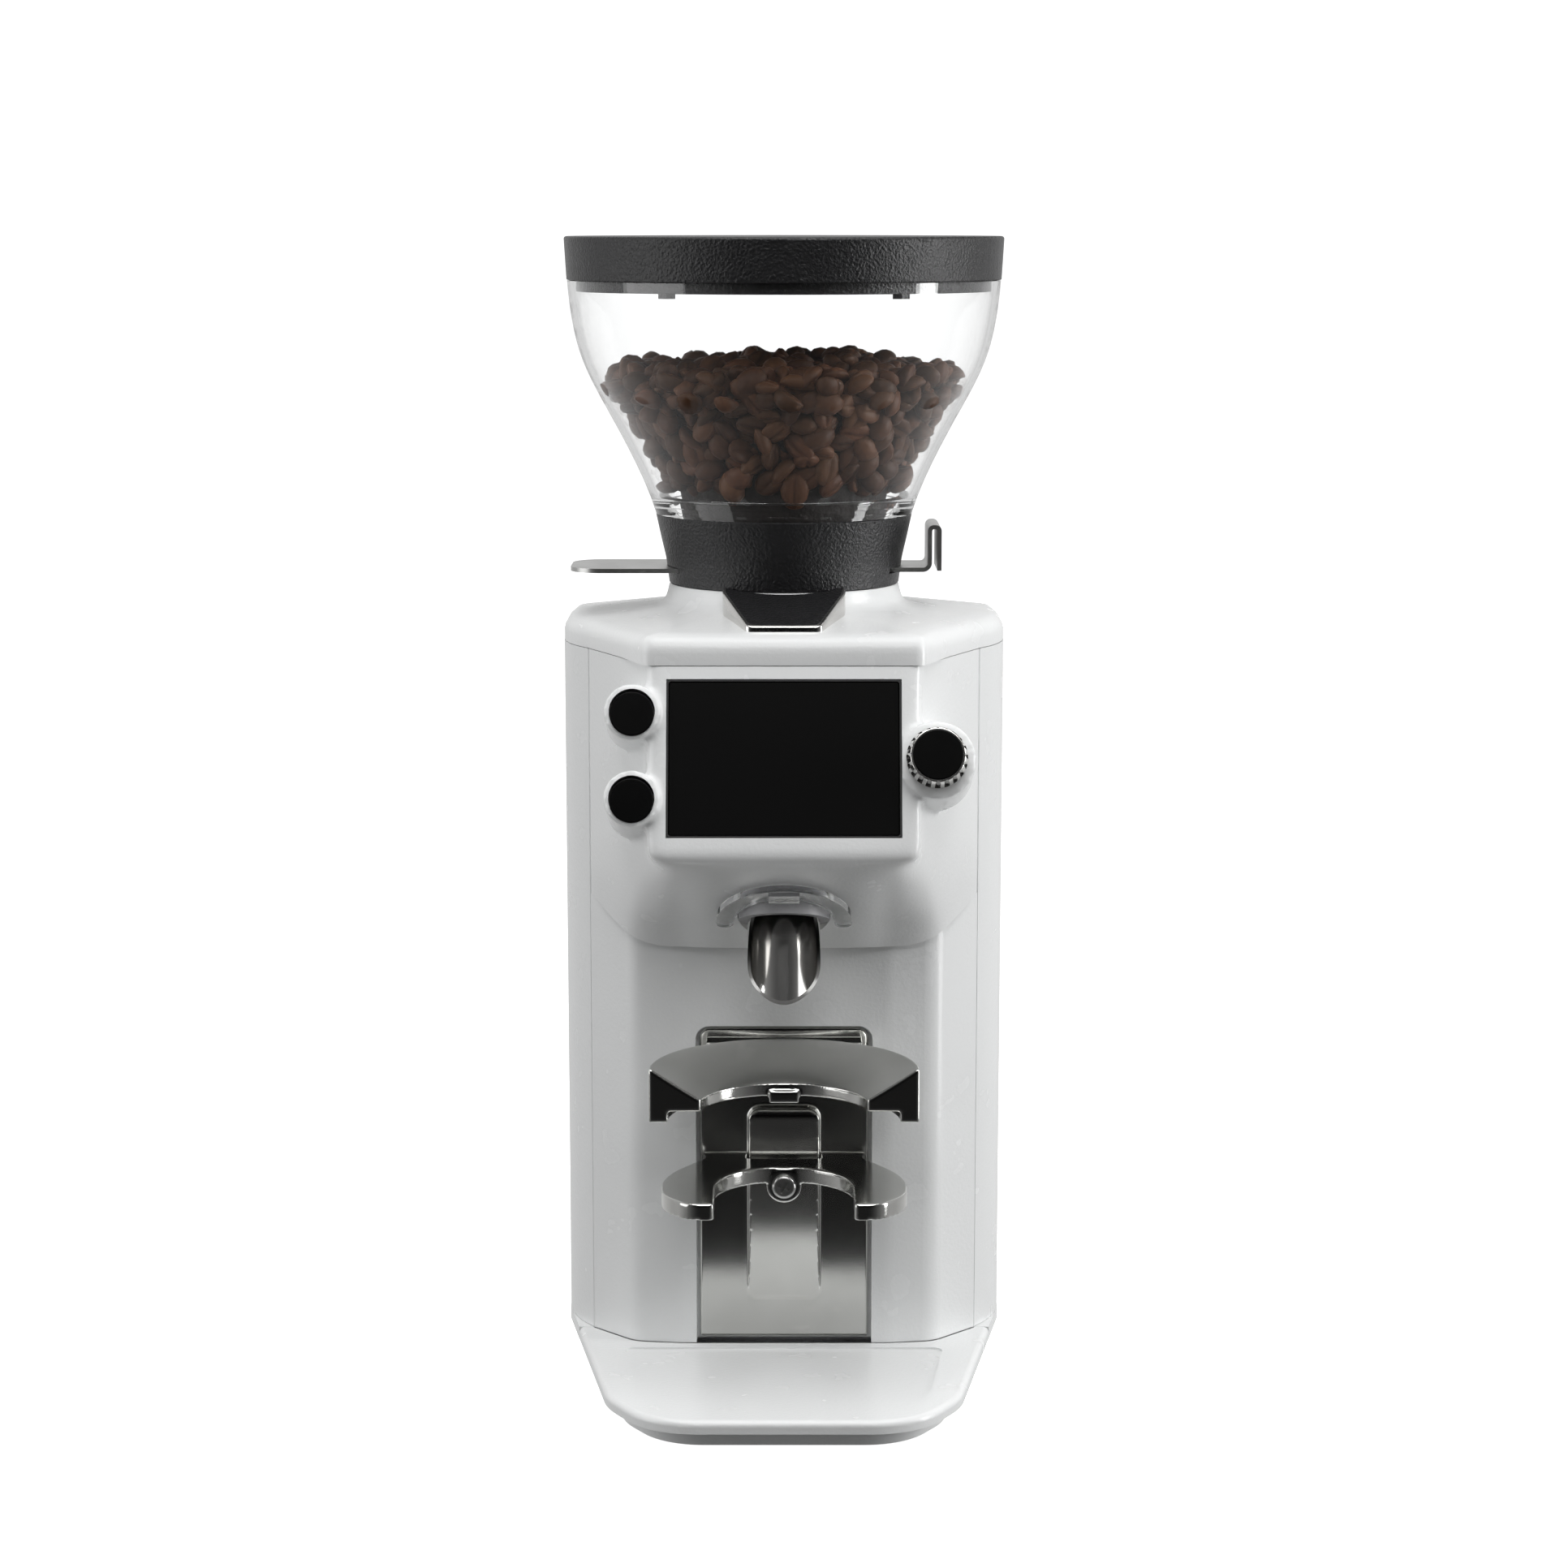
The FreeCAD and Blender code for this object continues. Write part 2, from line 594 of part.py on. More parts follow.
def on_underside(shape):
    """Place a shape drawn on the head's sloping underside, z out of it, y towards the front."""
    rise = BOX_Z - HEAD_FOOT_Z
    front = FACE_Y + (BOX_Z - FACE_Z) * math.tan(math.radians(LEAN))
    slope = rise / (WALL_Y - front)
    placed = shape.copy()
    placed.rotate(V(0, 0, 0), V(1, 0, 0), 180 - math.degrees(math.atan(slope)))
    placed.translate(V(0, CHUTE_Y, HEAD_FOOT_Z + slope * (WALL_Y - CHUTE_Y)))
    return placed


def crescent(outer, inner, low, high):
    """Front half of a ring round the chute, with round ends."""
    mid = (outer + inner) / 2
    width = (outer - inner) / 2
    arc = ring(outer, inner, low, high).common(box((-40, 0, low - 1), (40, 40, high + 1)))
    for side in (-1, 1):
        arc = arc.fuse(rod(width, (side * mid, 0, low), (side * mid, 0, high)))
    return arc.removeSplitter()


def make_light_lens():
    """Clear crescent lens with a raised clip at its middle."""
    lens = crescent(29.0, 21.4, 0.1, 3.2)
    clip = box((-6.5, 21.8, 3.0), (6.5, 28.0, 5.0))
    return on_underside(lens.fuse(clip).removeSplitter())


def make_led_board():
    """Curved board with the lamps, behind the lens inside the head."""
    board = crescent(28.0, 21.5, -7.0, -5.6)
    for i in range(7):
        angle = math.radians(24 + 22 * i)
        x, y = 24.8 * math.cos(angle), 24.8 * math.sin(angle)
        board = board.fuse(box((x - 1.4, y - 1.4, -5.6), (x + 1.4, y + 1.4, -4.8)))
    return on_underside(board)


# ---- portafilter holder ----

def make_holder_plate():
    """Steel back plate with a raised pad that tapers away downwards."""
    plate_half = [(PLATE_X, DECK_Z + 1.5, 0.5), (PLATE_X, 156.5, 5)]
    plate = front_prism(both_sides(plate_half), PLATE_Y, PLATE_Y + 2.8)
    pad = side_prism([(PLATE_Y + 1, 34.4, 0), (PLATE_Y - 0.6, 34.4, 0), (PLATE_Y - 7.6, 118.0, 3),
                      (PLATE_Y - 7.0, 121.0, 0), (PLATE_Y + 1, 121.0, 0)], -15.5, 15.5)
    pad = pad.common(front_prism(both_sides([(15.5, 34.0, 5), (15.5, 121.0, 5)]), -70, -40))
    plate = plate.fuse(pad).removeSplitter()
    for x in HOOK_SCREWS:
        plate = plate.cut(rod(1.9, (x, PLATE_Y - 1, HOOK_SCREW_Z), (x, PLATE_Y + 4, HOOK_SCREW_Z)))
    return plate


def make_holder_hook():
    """Cast upper hook: half ring whose top slopes down to the portafilter's rim."""
    block = rod(HOOK_R, (0, HOOK_Y, 130), (0, HOOK_Y, 153)).common(box((-60, HOOK_Y, 120), (60, -40, 160)))
    block = block.fuse(box((-34, -60, 134), (34, PLATE_Y, 152)))
    wires = []
    for radius, y, z in ((55.9, HOOK_Y, 153.0), (36.8, HOOK_Y - 9, 140.0)):
        wires.append(Part.Wire(Part.makeCircle(radius, V(0, y, z), V(0, 0, 1))))
    block = block.cut(Part.makeLoft(wires, True, True))
    block = block.cut(rod(36.5, (0, HOOK_Y - 9, 120), (0, HOOK_Y - 9, 160)))
    under = rod(49.0, (0, HOOK_Y, 120), (0, HOOK_Y, 134.7))
    block = block.cut(under.common(box((-60, HOOK_Y - 1, 100), (60, -60.5, 160))))
    tab = box((-6.3, -86.2, 131.8), (6.3, -83.2, 137.0))
    block = block.fuse(tab).removeSplitter()
    for x in HOOK_SCREWS:
        block = block.cut(rod(1.5, (x, PLATE_Y - 6, HOOK_SCREW_Z), (x, PLATE_Y + 1, HOOK_SCREW_Z)))
    return largest(block)


def make_hook_screws():
    """Screws through the back plate into the hook."""
    start_y = PLATE_Y + 2.8
    return group([screw((x, start_y, HOOK_SCREW_Z), (0, -1, 0), 1.9, 2.8, 1.5, 6.0) for x in HOOK_SCREWS])


def make_load_cell():
    """Weighing beam behind the wall, with two posts to the plate and a fixed foot below."""
    beam = box((-6.5, -41.5, 44), (6.5, -28.5, 128))
    beam = beam.cut(rod(5.5, (-10, -35, 82), (10, -35, 82)).fuse(rod(5.5, (-10, -35, 92), (10, -35, 92))))
    for z in CELL_POSTS:
        beam = beam.fuse(rod(5, (0, PLATE_Y + 2.8, z), (0, -41.5, z)))
    foot = box((-14, -28.5, DECK_Z), (14, -22.5, 62)).fuse(box((-14, -36, DECK_Z), (14, -10, DECK_Z + 4)))
    return beam.fuse(foot).removeSplitter()


def make_fork():
    """Fork with two lobed arms, a notch for the pad and a lug for its screw."""
    half = [(36.0, PLATE_Y - GAP, 1), (34.5, -57.0, 5), (52.6, -87.5, 58), (52.0, -116.5, 25),
            (40.5, -130.8, 11), (29.4, -130.8, 1.5), (29.4, -100.0, 0)]
    fork = prism(both_sides(half), FORK_Z, FORK_Z + FORK_T)
    fork = fork.cut(rod(29.4, (0, -102.4, 80), (0, -102.4, 110)))
    fork = fork.cut(box((-29.4, -110, 80), (29.4, -102.4, 110)))
    rim = [edge for edge in fork.Edges if min(v.Z for v in edge.Vertexes) > FORK_Z + FORK_T - 0.01]
    fork = fork.makeFillet(0.8, rim)
    fork = fork.cut(box((-16.2, -58.4, 80), (16.2, -45, 110)))
    fork = fork.fuse(rod(7.6, (0, -73.6, FORK_SCREW_Z), (0, -60.0, FORK_SCREW_Z)))
    return largest(fork.cut(rod(2.5, (0, -80, FORK_SCREW_Z), (0, -50, FORK_SCREW_Z))).removeSplitter())


def make_fork_screw():
    """Pan-head screw with a cross recess that clamps the fork."""
    head = rod(5.25, (0, -76.2, FORK_SCREW_Z), (0, -73.6, FORK_SCREW_Z))
    rim = [edge for edge in head.Edges if edge.CenterOfMass.y < -76.1]
    head = head.makeFillet(1.6, rim[:1])
    cross = box((-2.8, -78, 91.0), (2.8, -75.0, 92.2)).fuse(box((-0.6, -78, 88.8), (0.6, -75.0, 94.4)))
    cross.rotate(V(0, -75, FORK_SCREW_Z), V(0, 1, 0), 30)
    return head.fuse(rod(2.5, (0, -73.6, FORK_SCREW_Z), (0, -60.0, FORK_SCREW_Z))).cut(cross)


# ---- drive train ----

def make_motor_bracket():
    """Steel bracket: two side plates on feet and the plate that the motor hangs from."""
    bracket = box((-53, -40, PLATE_Z), (53, 76, CHAMBER_Z))
    for side in (-1, 1):
        low, high = sorted((side * 50, side * 53))
        wall = box((low, -20, DECK_Z), (high, 76, PLATE_Z))
        wall = wall.cut(side_prism([(5, 50, 8), (55, 50, 8), (55, 115, 8), (5, 115, 8)], low - 1, high + 1))
        low, high = sorted((side * 50, side * 64))
        bracket = bracket.fuse(wall).fuse(box((low, -20, DECK_Z), (high, 76, DECK_Z + 3)))
    bracket = bracket.cut(rod(20, (0, 0, 230), (0, 0, 250)))
    return bracket.removeSplitter()


def make_motor_can():
    """Aluminium motor housing with cooling fins, open slots low down and a boss each end."""
    can = ring(MOTOR_R - 2, MOTOR_R - 5, MOTOR_Z, PLATE_Z)
    top = ring(MOTOR_R - 5, 13.0, PLATE_Z - 10, PLATE_Z)
    bottom = ring(MOTOR_R - 5, 13.0, MOTOR_Z, MOTOR_Z + 9)
    can = can.fuse(top).fuse(bottom)
    for i in range(24):
        fin = box((MOTOR_R - 3, -0.9, MOTOR_Z + 25), (MOTOR_R, 0.9, PLATE_Z - 8))
        fin.rotate(V(0, 0, 0), V(0, 0, 1), 15 * i)
        can = can.fuse(fin)
    for i in range(8):
        slot = box((MOTOR_R - 8, -5, MOTOR_Z + 11), (MOTOR_R + 1, 5, MOTOR_Z + 20))
        slot.rotate(V(0, 0, 0), V(0, 0, 1), 45 * i)
        can = can.cut(slot)
    return can.removeSplitter()


def make_stator():
    """Laminated ring with its copper windings."""
    core = ring(MOTOR_R - 5, 26.0, MOTOR_Z + 32, MOTOR_Z + 76)
    lower = ring(35.0, 27.5, MOTOR_Z + 25, MOTOR_Z + 32)
    upper = ring(35.0, 27.5, MOTOR_Z + 76, MOTOR_Z + 84)
    return core.fuse(lower).fuse(upper)


def make_bearing(low):
    """Ball bearing, drawn as one sealed ring."""
    bearing = ring(13.0, SHAFT_R + 0.05, low, low + 8)
    groove = ring(11.0, 8.5, low + 7.4, low + 9)
    return bearing.cut(groove)


def make_drive_shaft():
    """Steel shaft from the lower bearing to the burr carrier."""
    shaft = rod(SHAFT_R, (0, 0, MOTOR_Z + 0.5), (0, 0, BURR_Z))
    rim = [edge for edge in shaft.Edges if edge.Closed]
    return shaft.makeChamfer(0.8, rim)


def make_rotor_core():
    """Laminated rotor on the shaft."""
    core = ring(25.5, SHAFT_R, MOTOR_Z + 30, MOTOR_Z + 78)
    return core.fuse(ring(22.0, 14.0, MOTOR_Z + 27, MOTOR_Z + 30)).removeSplitter()


def make_cooling_fan():
    """Fan with straight blades on a hub below the rotor."""
    fan = ring(34.0, SHAFT_R, MOTOR_Z + 11, MOTOR_Z + 13)
    for i in range(10):
        blade = box((12, -0.8, MOTOR_Z + 13), (33, 0.8, MOTOR_Z + 21))
        blade.rotate(V(0, 0, 0), V(0, 0, 1), 36 * i)
        fan = fan.fuse(blade)
    return fan


def make_grind_chamber():
    """Cast chamber round the burrs, with the outlet block that the chute starts in."""
    chamber = ring(CHAMBER_R, 44.0, CHAMBER_Z, CHAMBER_TOP)
    chamber = chamber.fuse(ring(45.0, 9.0, CHAMBER_Z, CHAMBER_Z + 4))
    block = box((-20, -78, 252), (20, -30, 280)).cut(rod(44.5, (0, 0, 240), (0, 0, 300)))
    chamber = chamber.fuse(block)
    chamber = chamber.cut(on_chute(rod(CHUTE_R + 0.02, (0, 0, -48), (0, 0, 0))))
    chamber = chamber.cut(on_chute(rod(CHUTE_R - CHUTE_WALL, (0, 0, -57), (0, 0, -47))))
    window = box((-11, -64, 256), (11, -40, 268))
    return largest(chamber.cut(window).removeSplitter())


def burr(low, grooves_up):
    """Steel burr ring with cutting grooves on one side and three screw seats."""
    disc = ring(BURR_R, 17.0, low, low + BURR_T)
    coned = lathe([(0, 0, 0), (27.0, 0, 0), (17.0, 2.4, 0), (0, 2.4, 0)])
    if grooves_up:
        coned.rotate(V(0, 0, 0), V(1, 0, 0), 180)
        coned.translate(V(0, 0, low + BURR_T))
    else:
        coned.translate(V(0, 0, low))
    disc = disc.cut(coned)
    face = low + BURR_T - 1.2 if grooves_up else low - 0.8
    for i in range(30):
        groove = box((15, -0.7, face), (34, 0.7, face + 2.0))
        groove.rotate(V(0, 0, 0), V(0, 0, 1), 18)
        groove.translate(V(0, -6, 0))
        groove.rotate(V(0, 0, 0), V(0, 0, 1), 12 * i)
        disc = disc.cut(groove)
    for x, y in BURR_SCREWS:
        seat = low + BURR_T - 4.0 if grooves_up else low + 4.0
        head = sorted((seat, low + BURR_T + 1 if grooves_up else low - 1))
        disc = disc.cut(rod(3.4, (x, y, head[0]), (x, y, head[1])))
        disc = disc.cut(rod(1.8, (x, y, low - 1), (x, y, low + BURR_T + 1)))
    return largest(disc)


def make_lower_burr():
    """Turning burr."""
    return burr(BURR_Z, True)


def make_upper_burr():
    """Still burr, facing the turning one."""
    return burr(BURR_Z + BURR_T + BURR_GAP, False)


def make_lower_burr_screws():
    """Screws of the turning burr."""
    top = BURR_Z + BURR_T - 1.8
    return group([screw((x, y, top), (0, 0, -1), 3.4, 2.2, 1.8, 5.5) for x, y in BURR_SCREWS])


def make_upper_burr_screws():
    """Screws of the still burr."""
    low = BURR_Z + BURR_T + BURR_GAP + 1.8
    return group([screw((x, y, low), (0, 0, 1), 3.4, 2.2, 1.8, 5.5) for x, y in BURR_SCREWS])


def make_burr_carrier():
    """Carrier disc with three sweeper vanes."""
    carrier = ring(38.0, SHAFT_R, BURR_Z - 7, BURR_Z).fuse(ring(11.0, SHAFT_R, BURR_Z - 9.5, BURR_Z - 7))
    for i in range(3):
        vane = box((36.0, -2.0, BURR_Z - 7), (43.0, 2.0, BURR_Z - 1))
        vane.rotate(V(0, 0, 0), V(0, 0, 1), 120 * i + 60)
        carrier = carrier.fuse(vane)
    for x, y in BURR_SCREWS:
        carrier = carrier.cut(rod(1.8, (x, y, BURR_Z - 3.5), (x, y, BURR_Z + 1)))
    return carrier.removeSplitter()


def make_feed_auger():
    """Cone with two vanes that draws the beans between the burrs."""
    auger = lathe([(0, BURR_Z, 0), (14.0, BURR_Z, 0), (14.0, BURR_Z + 2, 0), (4.0, BURR_Z + 15, 0),
                   (0, BURR_Z + 15, 0)])
    for i in range(2):
        vane = box((0, -1.2, BURR_Z + 1), (15.0, 1.2, BURR_Z + 8))
        vane.rotate(V(0, 0, 0), V(0, 0, 1), 180 * i)
        auger = auger.fuse(vane)
    return auger.removeSplitter()


def make_adjuster_ring():
    """Ring that holds the still burr, with a throat for the beans and an arm to the nut."""
    low = BURR_Z + 2 * BURR_T + BURR_GAP
    holder = lathe([(20.0, low, 0), (43.7, low, 0), (43.7, CHAMBER_TOP + GAP, 0),
                    (50.0, CHAMBER_TOP + GAP, 0), (50.0, CHAMBER_TOP + 5, 0), (30.0, CHAMBER_TOP + 5, 0),
                    (26.0, 329.0, 0), (21.0, 329.0, 0), (21.0, low + 6, 0)])
    arm = box((40, -7, CHAMBER_TOP + GAP), (71, 7, CHAMBER_TOP + 5))
    holder = holder.fuse(arm)
    slot = box((KNOB_X - 4, -2.6, CHAMBER_TOP - 1), (KNOB_X + 4, 2.6, CHAMBER_TOP + 7))
    holder = holder.cut(slot)
    for x, y in BURR_SCREWS:
        holder = holder.cut(rod(1.8, (x, y, low - 1), (x, y, low + 3.6)))
    return largest(holder)


# ---- electrics ----

def make_control_board():
    """Motor and scale board on the rear of the deck, with its larger components."""
    board = box((-46, 84, 60), (46, 85.6, 180))
    parts = [((-38, 85.6, 70), (-18, 103, 96)), ((-10, 85.6, 72), (14, 98, 92)),
             ((22, 85.6, 76), (40, 96, 88)), ((-36, 85.6, 140), (-12, 92, 166)),
             ((4, 85.6, 120), (20, 89, 136)), ((-34, 85.6, 112), (-22, 97, 128))]
    for low, high in parts:
        board = board.fuse(box(low, high))
    foot = box((-46, 79, DECK_Z), (46, 84, DECK_Z + 4)).fuse(box((-46, 80, DECK_Z), (46, 84, 68)))
    return board.fuse(foot).removeSplitter()


def make_motor_capacitor():
    """Run capacitor lying beside the bracket."""
    can = rod(15, (-72, 20, 40), (-72, 20, 100))
    return can.fuse(rod(4, (-72, 20, 100), (-72, 20, 104))).fuse(box((-84, 12, DECK_Z), (-66, 28, 41)))


def make_power_inlet():
    """Mains inlet with a flange outside the cover and three contact blades."""
    body = box((INLET_X - 13.4, BACK_Y - 22, MAINS_Z - 10), (INLET_X + 13.4, BACK_Y, MAINS_Z + 10))
    flange = box((INLET_X - 15.5, BACK_Y - SHEET - 1.5, MAINS_Z - 12),
                 (INLET_X + 15.5, BACK_Y - SHEET, MAINS_Z + 12))
    inlet = body.fuse(flange)
    cavity = front_prism([(INLET_X - 11.8, MAINS_Z - 7.5, 1), (INLET_X + 11.8, MAINS_Z - 7.5, 1),
                          (INLET_X + 11.8, MAINS_Z + 2.5, 1), (INLET_X + 7, MAINS_Z + 7.5, 1),
                          (INLET_X - 7, MAINS_Z + 7.5, 1), (INLET_X - 11.8, MAINS_Z + 2.5, 1)],
                         BACK_Y - 18, BACK_Y + 1)
    inlet = inlet.cut(cavity)
    for x, z in ((-7, -1.5), (0, 2.5), (7, -1.5)):
        blade = box((INLET_X + x - 1, BACK_Y - 20, MAINS_Z + z - 2),
                    (INLET_X + x + 1, BACK_Y - 9, MAINS_Z + z + 2))
        inlet = inlet.fuse(blade)
    return inlet.removeSplitter()


def make_switch_frame():
    """Frame of the mains switch, snapped in the cover."""
    frame = box((SWITCH_X - 9.4, BACK_Y - 18, MAINS_Z - 6.4), (SWITCH_X + 9.4, BACK_Y, MAINS_Z + 6.4))
    return frame.cut(box((SWITCH_X - 7.6, BACK_Y - 9, MAINS_Z - 4.9),
                         (SWITCH_X + 7.6, BACK_Y + 1, MAINS_Z + 4.9)))


def make_power_rocker():
    """Rocker that tips about an upright pin at its middle."""
    points = [(SWITCH_X - 6.8, ROCKER_Y - 1.6, 0), (SWITCH_X, ROCKER_Y - 3.6, 0),
              (SWITCH_X + 6.8, ROCKER_Y - 0.6, 0), (SWITCH_X + 6.8, ROCKER_Y + 3.2, 0),
              (SWITCH_X, ROCKER_Y + 2.8, 0), (SWITCH_X - 6.8, ROCKER_Y + 0.8, 0)]
    return prism(points, MAINS_Z - 4.6, MAINS_Z + 4.6)


# ---- hopper ----

def hopper_curve(inset):
    """S-shaped wall line of the hopper, from the rim down to the collar."""
    points = [(94.6, 479.0), (93.1, 465.0), (89.0, 447.0), (76.3, 420.8), (66.9, 403.0), (56.4, COLLAR_TOP)]
    curve = Part.BSplineCurve()
    curve.interpolate([V(r - inset, 0, z) for r, z in points])
    return curve.toShape()


def turned(edges):
    """Solid turned from a closed line of edges in the XZ plane."""
    return Part.Face(Part.Wire(edges)).revolve(V(0, 0, 0), V(0, 0, 1), 360)


def line(start, end):
    """Straight edge between two (r, z) points of the XZ plane."""
    return Part.LineSegment(V(start[0], 0, start[1]), V(end[0], 0, end[1])).toShape()


def make_hopper_shell():
    """Clear hopper with a stepped foot that stands in the collar."""
    wall = 3.4
    outer = hopper_curve(0)
    inner = hopper_curve(wall)
    shell = turned([outer, line((56.4, COLLAR_TOP), (56.4 - wall, COLLAR_TOP)), inner,
                    line((94.6 - wall, 479.0), (94.6, 479.0))])
    foot = lathe([(46.0, 368.0, 0), (52.3, 368.0, 0), (52.3, COLLAR_TOP, 0), (56.3, COLLAR_TOP, 0),
                  (57.2, 380.0, 0), (55.5, 386.0, 0), (51.0, 386.0, 0), (51.0, 383.0, 0), (48.5, 383.0, 0),
                  (48.5, 379.5, 0), (46.0, 379.5, 0)])
    return shell.fuse(foot).removeSplitter()


def make_hopper_collar():
    """Black collar with a funnel, a spigot below and slots for the gate."""
    collar = lathe([(THROAT_R, 331.5, 0), (33.0, 331.5, 0.8), (33.0, NECK_Z + GAP, 0),
                    (NECK_R, NECK_Z + GAP, 0.5), (51.0, 350.5, 0), (52.0, 358.0, 30), (54.1, 367.0, 30),
                    (56.4, COLLAR_TOP, 0.4), (52.3, COLLAR_TOP, 0), (52.3, 368.0, 0), (45.0, 368.0, 0),
                    (THROAT_R, 358.5, 0)])
    slot = box((-60, -23.0, GATE_Z - GAP), (60, 23.0, GATE_Z + GATE_T + GAP))
    return largest(collar.cut(slot))


def make_slide_gate():
    """Sheet steel gate: a round-ended tongue, a hole at its middle and a bent handle."""
    top = GATE_Z + GATE_T
    tongue = [(26.0, 22.4, 3), (-93.7, 22.4, 14), (-93.7, -22.4, 14), (26.0, -22.4, 3), (30.0, -17.0, 3),
              (60.0, -17.0, 0), (60.0, 17.0, 0), (30.0, 17.0, 3)]
    gate = prism(tongue, GATE_Z, top)
    gate = gate.cut(rod(THROAT_R, (0, 0, 340), (0, 0, 360)))
    strip = [(60.0, GATE_Z, 0), (64.7, GATE_Z, 4.0), (64.7, 371.6, 0.9), (67.0, 371.6, 0.9),
             (67.0, 353.4, 0), (68.9, 353.4, 0), (68.9, 373.4, 2.6), (62.8, 373.4, 2.6),
             (62.8, top, 2.1), (60.0, top, 0)]
    handle = front_prism(strip, -17.0, 17.0)
    return gate.fuse(handle).removeSplitter()


def make_bean_fill():
    """The beans in the hopper as one closed heap."""
    clear = 4.8
    points = [(84.6, 440.5), (76.3, 420.8), (66.9, 403.0), (59.4, 387.0)]
    curve = Part.BSplineCurve()
    curve.interpolate([V(r - clear, 0, z) for r, z in points])
    corners = [(points[-1][0] - clear, points[-1][1]), (50.6, 386.4), (45.4, 379.0), (45.4, 369.0),
               (20.0, 359.2), (0, 359.2), (0, 450.0), (50.0, 447.0), (points[0][0] - clear, points[0][1])]
    edges = [curve.toShape()]
    for start, end in zip(corners, corners[1:]):
        edges.append(line(start, end))
    return turned(edges)


def make_hopper_lid():
    """Black lid: a deep cap with an inner skirt and two small lugs."""
    lid = lathe([(0, 494.8, 0), (0, LID_Z, 0), (95.9, LID_Z, 1.2), (94.8, 479.3, 0.4), (92.0, 479.3, 0),
                 (90.4, 481.0, 0), (90.4, 474.6, 0.3), (88.0, 474.6, 0.3), (88.0, 494.8, 1.5)])
    for side in (-1, 1):
        lug = box((side * 48 - 3.5, -76.5, 472.6), (side * 48 + 3.5, -72.5, 480))
        lid = lid.fuse(lug.common(ring(90.4, 88.0, 470, 482)))
    return largest(lid)


# ---- writing ----

def main():
    """Make every node and write it."""
    os.makedirs("parts", exist_ok=True)
    nodes = {
        "base_frame": make_base_frame(),
        "rubber_feet": make_feet(),
        "bottom_plate": make_bottom_plate(),
        "bottom_screws": make_bottom_screws(),
        "grounds_tray": make_grounds_tray(),
        "side_shell": make_side_shell(),
        "shell_screws": make_shell_screws(),
        "lower_front_panel": make_front_panel(),
        "head_housing": make_head(),
        "top_cover": make_top_cover(),
        "badge_frame": make_badge_frame(),
        "badge_plate": make_badge_plate(),
        "display_bezel": make_display_bezel(),
        "display_glass": make_display_glass(),
        "display_module": make_display_module(),
        "upper_button": make_button(BUTTON_Y),
        "lower_button": make_button(-BUTTON_Y),
        "button_switches": make_button_switches(),
        "knob_bushing": make_knob_bushing(),
        "knob_ring": make_knob_ring(),
        "knob_cap": make_knob_cap(),
        "knob_spindle": make_knob_spindle(),
        "adjuster_nut": make_adjuster_nut(),
        "chute_tube": make_chute_tube(),
        "chute_collar": make_chute_collar(),
        "light_lens": make_light_lens(),
        "led_board": make_led_board(),
        "holder_plate": make_holder_plate(),
        "holder_hook": make_holder_hook(),
        "hook_screws": make_hook_screws(),
        "load_cell": make_load_cell(),
        "fork": make_fork(),
        "fork_screw": make_fork_screw(),
        "motor_bracket": make_motor_bracket(),
        "motor_can": make_motor_can(),
        "stator": make_stator(),
        "top_bearing": make_bearing(PLATE_Z - 10),
        "bottom_bearing": make_bearing(MOTOR_Z + 1),
        "drive_shaft": make_drive_shaft(),
        "rotor_core": make_rotor_core(),
        "cooling_fan": make_cooling_fan(),
        "grind_chamber": make_grind_chamber(),
        "lower_burr": make_lower_burr(),
        "upper_burr": make_upper_burr(),
        "lower_burr_screws": make_lower_burr_screws(),
        "upper_burr_screws": make_upper_burr_screws(),
        "burr_carrier": make_burr_carrier(),
        "feed_auger": make_feed_auger(),
        "adjuster_ring": make_adjuster_ring(),
        "control_board": make_control_board(),
        "motor_capacitor": make_motor_capacitor(),
        "power_inlet": make_power_inlet(),
        "switch_frame": make_switch_frame(),
        "power_rocker": make_power_rocker(),
        "hopper_shell": make_hopper_shell(),
        "hopper_collar": make_hopper_collar(),
        "slide_gate": make_slide_gate(),
        "bean_fill": make_bean_fill(),
        "hopper_lid": make_hopper_lid(),
    }
    for name, shape in nodes.items():
        write(name, shape)


main()
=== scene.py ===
import math
import random

import bmesh
import bpy
from mathutils import Matrix, Vector


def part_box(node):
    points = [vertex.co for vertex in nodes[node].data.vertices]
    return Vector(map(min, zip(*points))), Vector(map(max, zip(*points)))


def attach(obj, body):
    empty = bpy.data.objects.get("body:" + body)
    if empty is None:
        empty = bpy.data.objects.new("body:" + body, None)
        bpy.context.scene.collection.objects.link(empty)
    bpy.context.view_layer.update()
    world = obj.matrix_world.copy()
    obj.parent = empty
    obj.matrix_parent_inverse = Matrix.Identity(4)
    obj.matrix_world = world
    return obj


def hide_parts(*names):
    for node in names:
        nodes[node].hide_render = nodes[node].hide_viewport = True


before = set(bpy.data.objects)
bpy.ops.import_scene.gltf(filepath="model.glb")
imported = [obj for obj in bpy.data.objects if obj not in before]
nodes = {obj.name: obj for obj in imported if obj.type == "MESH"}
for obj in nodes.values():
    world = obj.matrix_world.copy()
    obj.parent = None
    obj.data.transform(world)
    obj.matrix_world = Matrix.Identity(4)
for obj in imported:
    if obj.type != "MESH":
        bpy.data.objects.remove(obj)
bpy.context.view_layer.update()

# --- Camera ---------------------------------------------------------------
# A long lens in front of the grinder, a little above the display and tipped
# down, so that the tray and the top of the fork show.
camera_data = bpy.data.cameras.new("camera")
camera_data.lens = 80
camera_data.sensor_width = 36
camera = bpy.data.objects.new("camera", camera_data)
camera.location = (0, -1.521, 0.505)
camera.rotation_euler = (math.radians(80.8), 0, 0)
bpy.context.scene.collection.objects.link(camera)
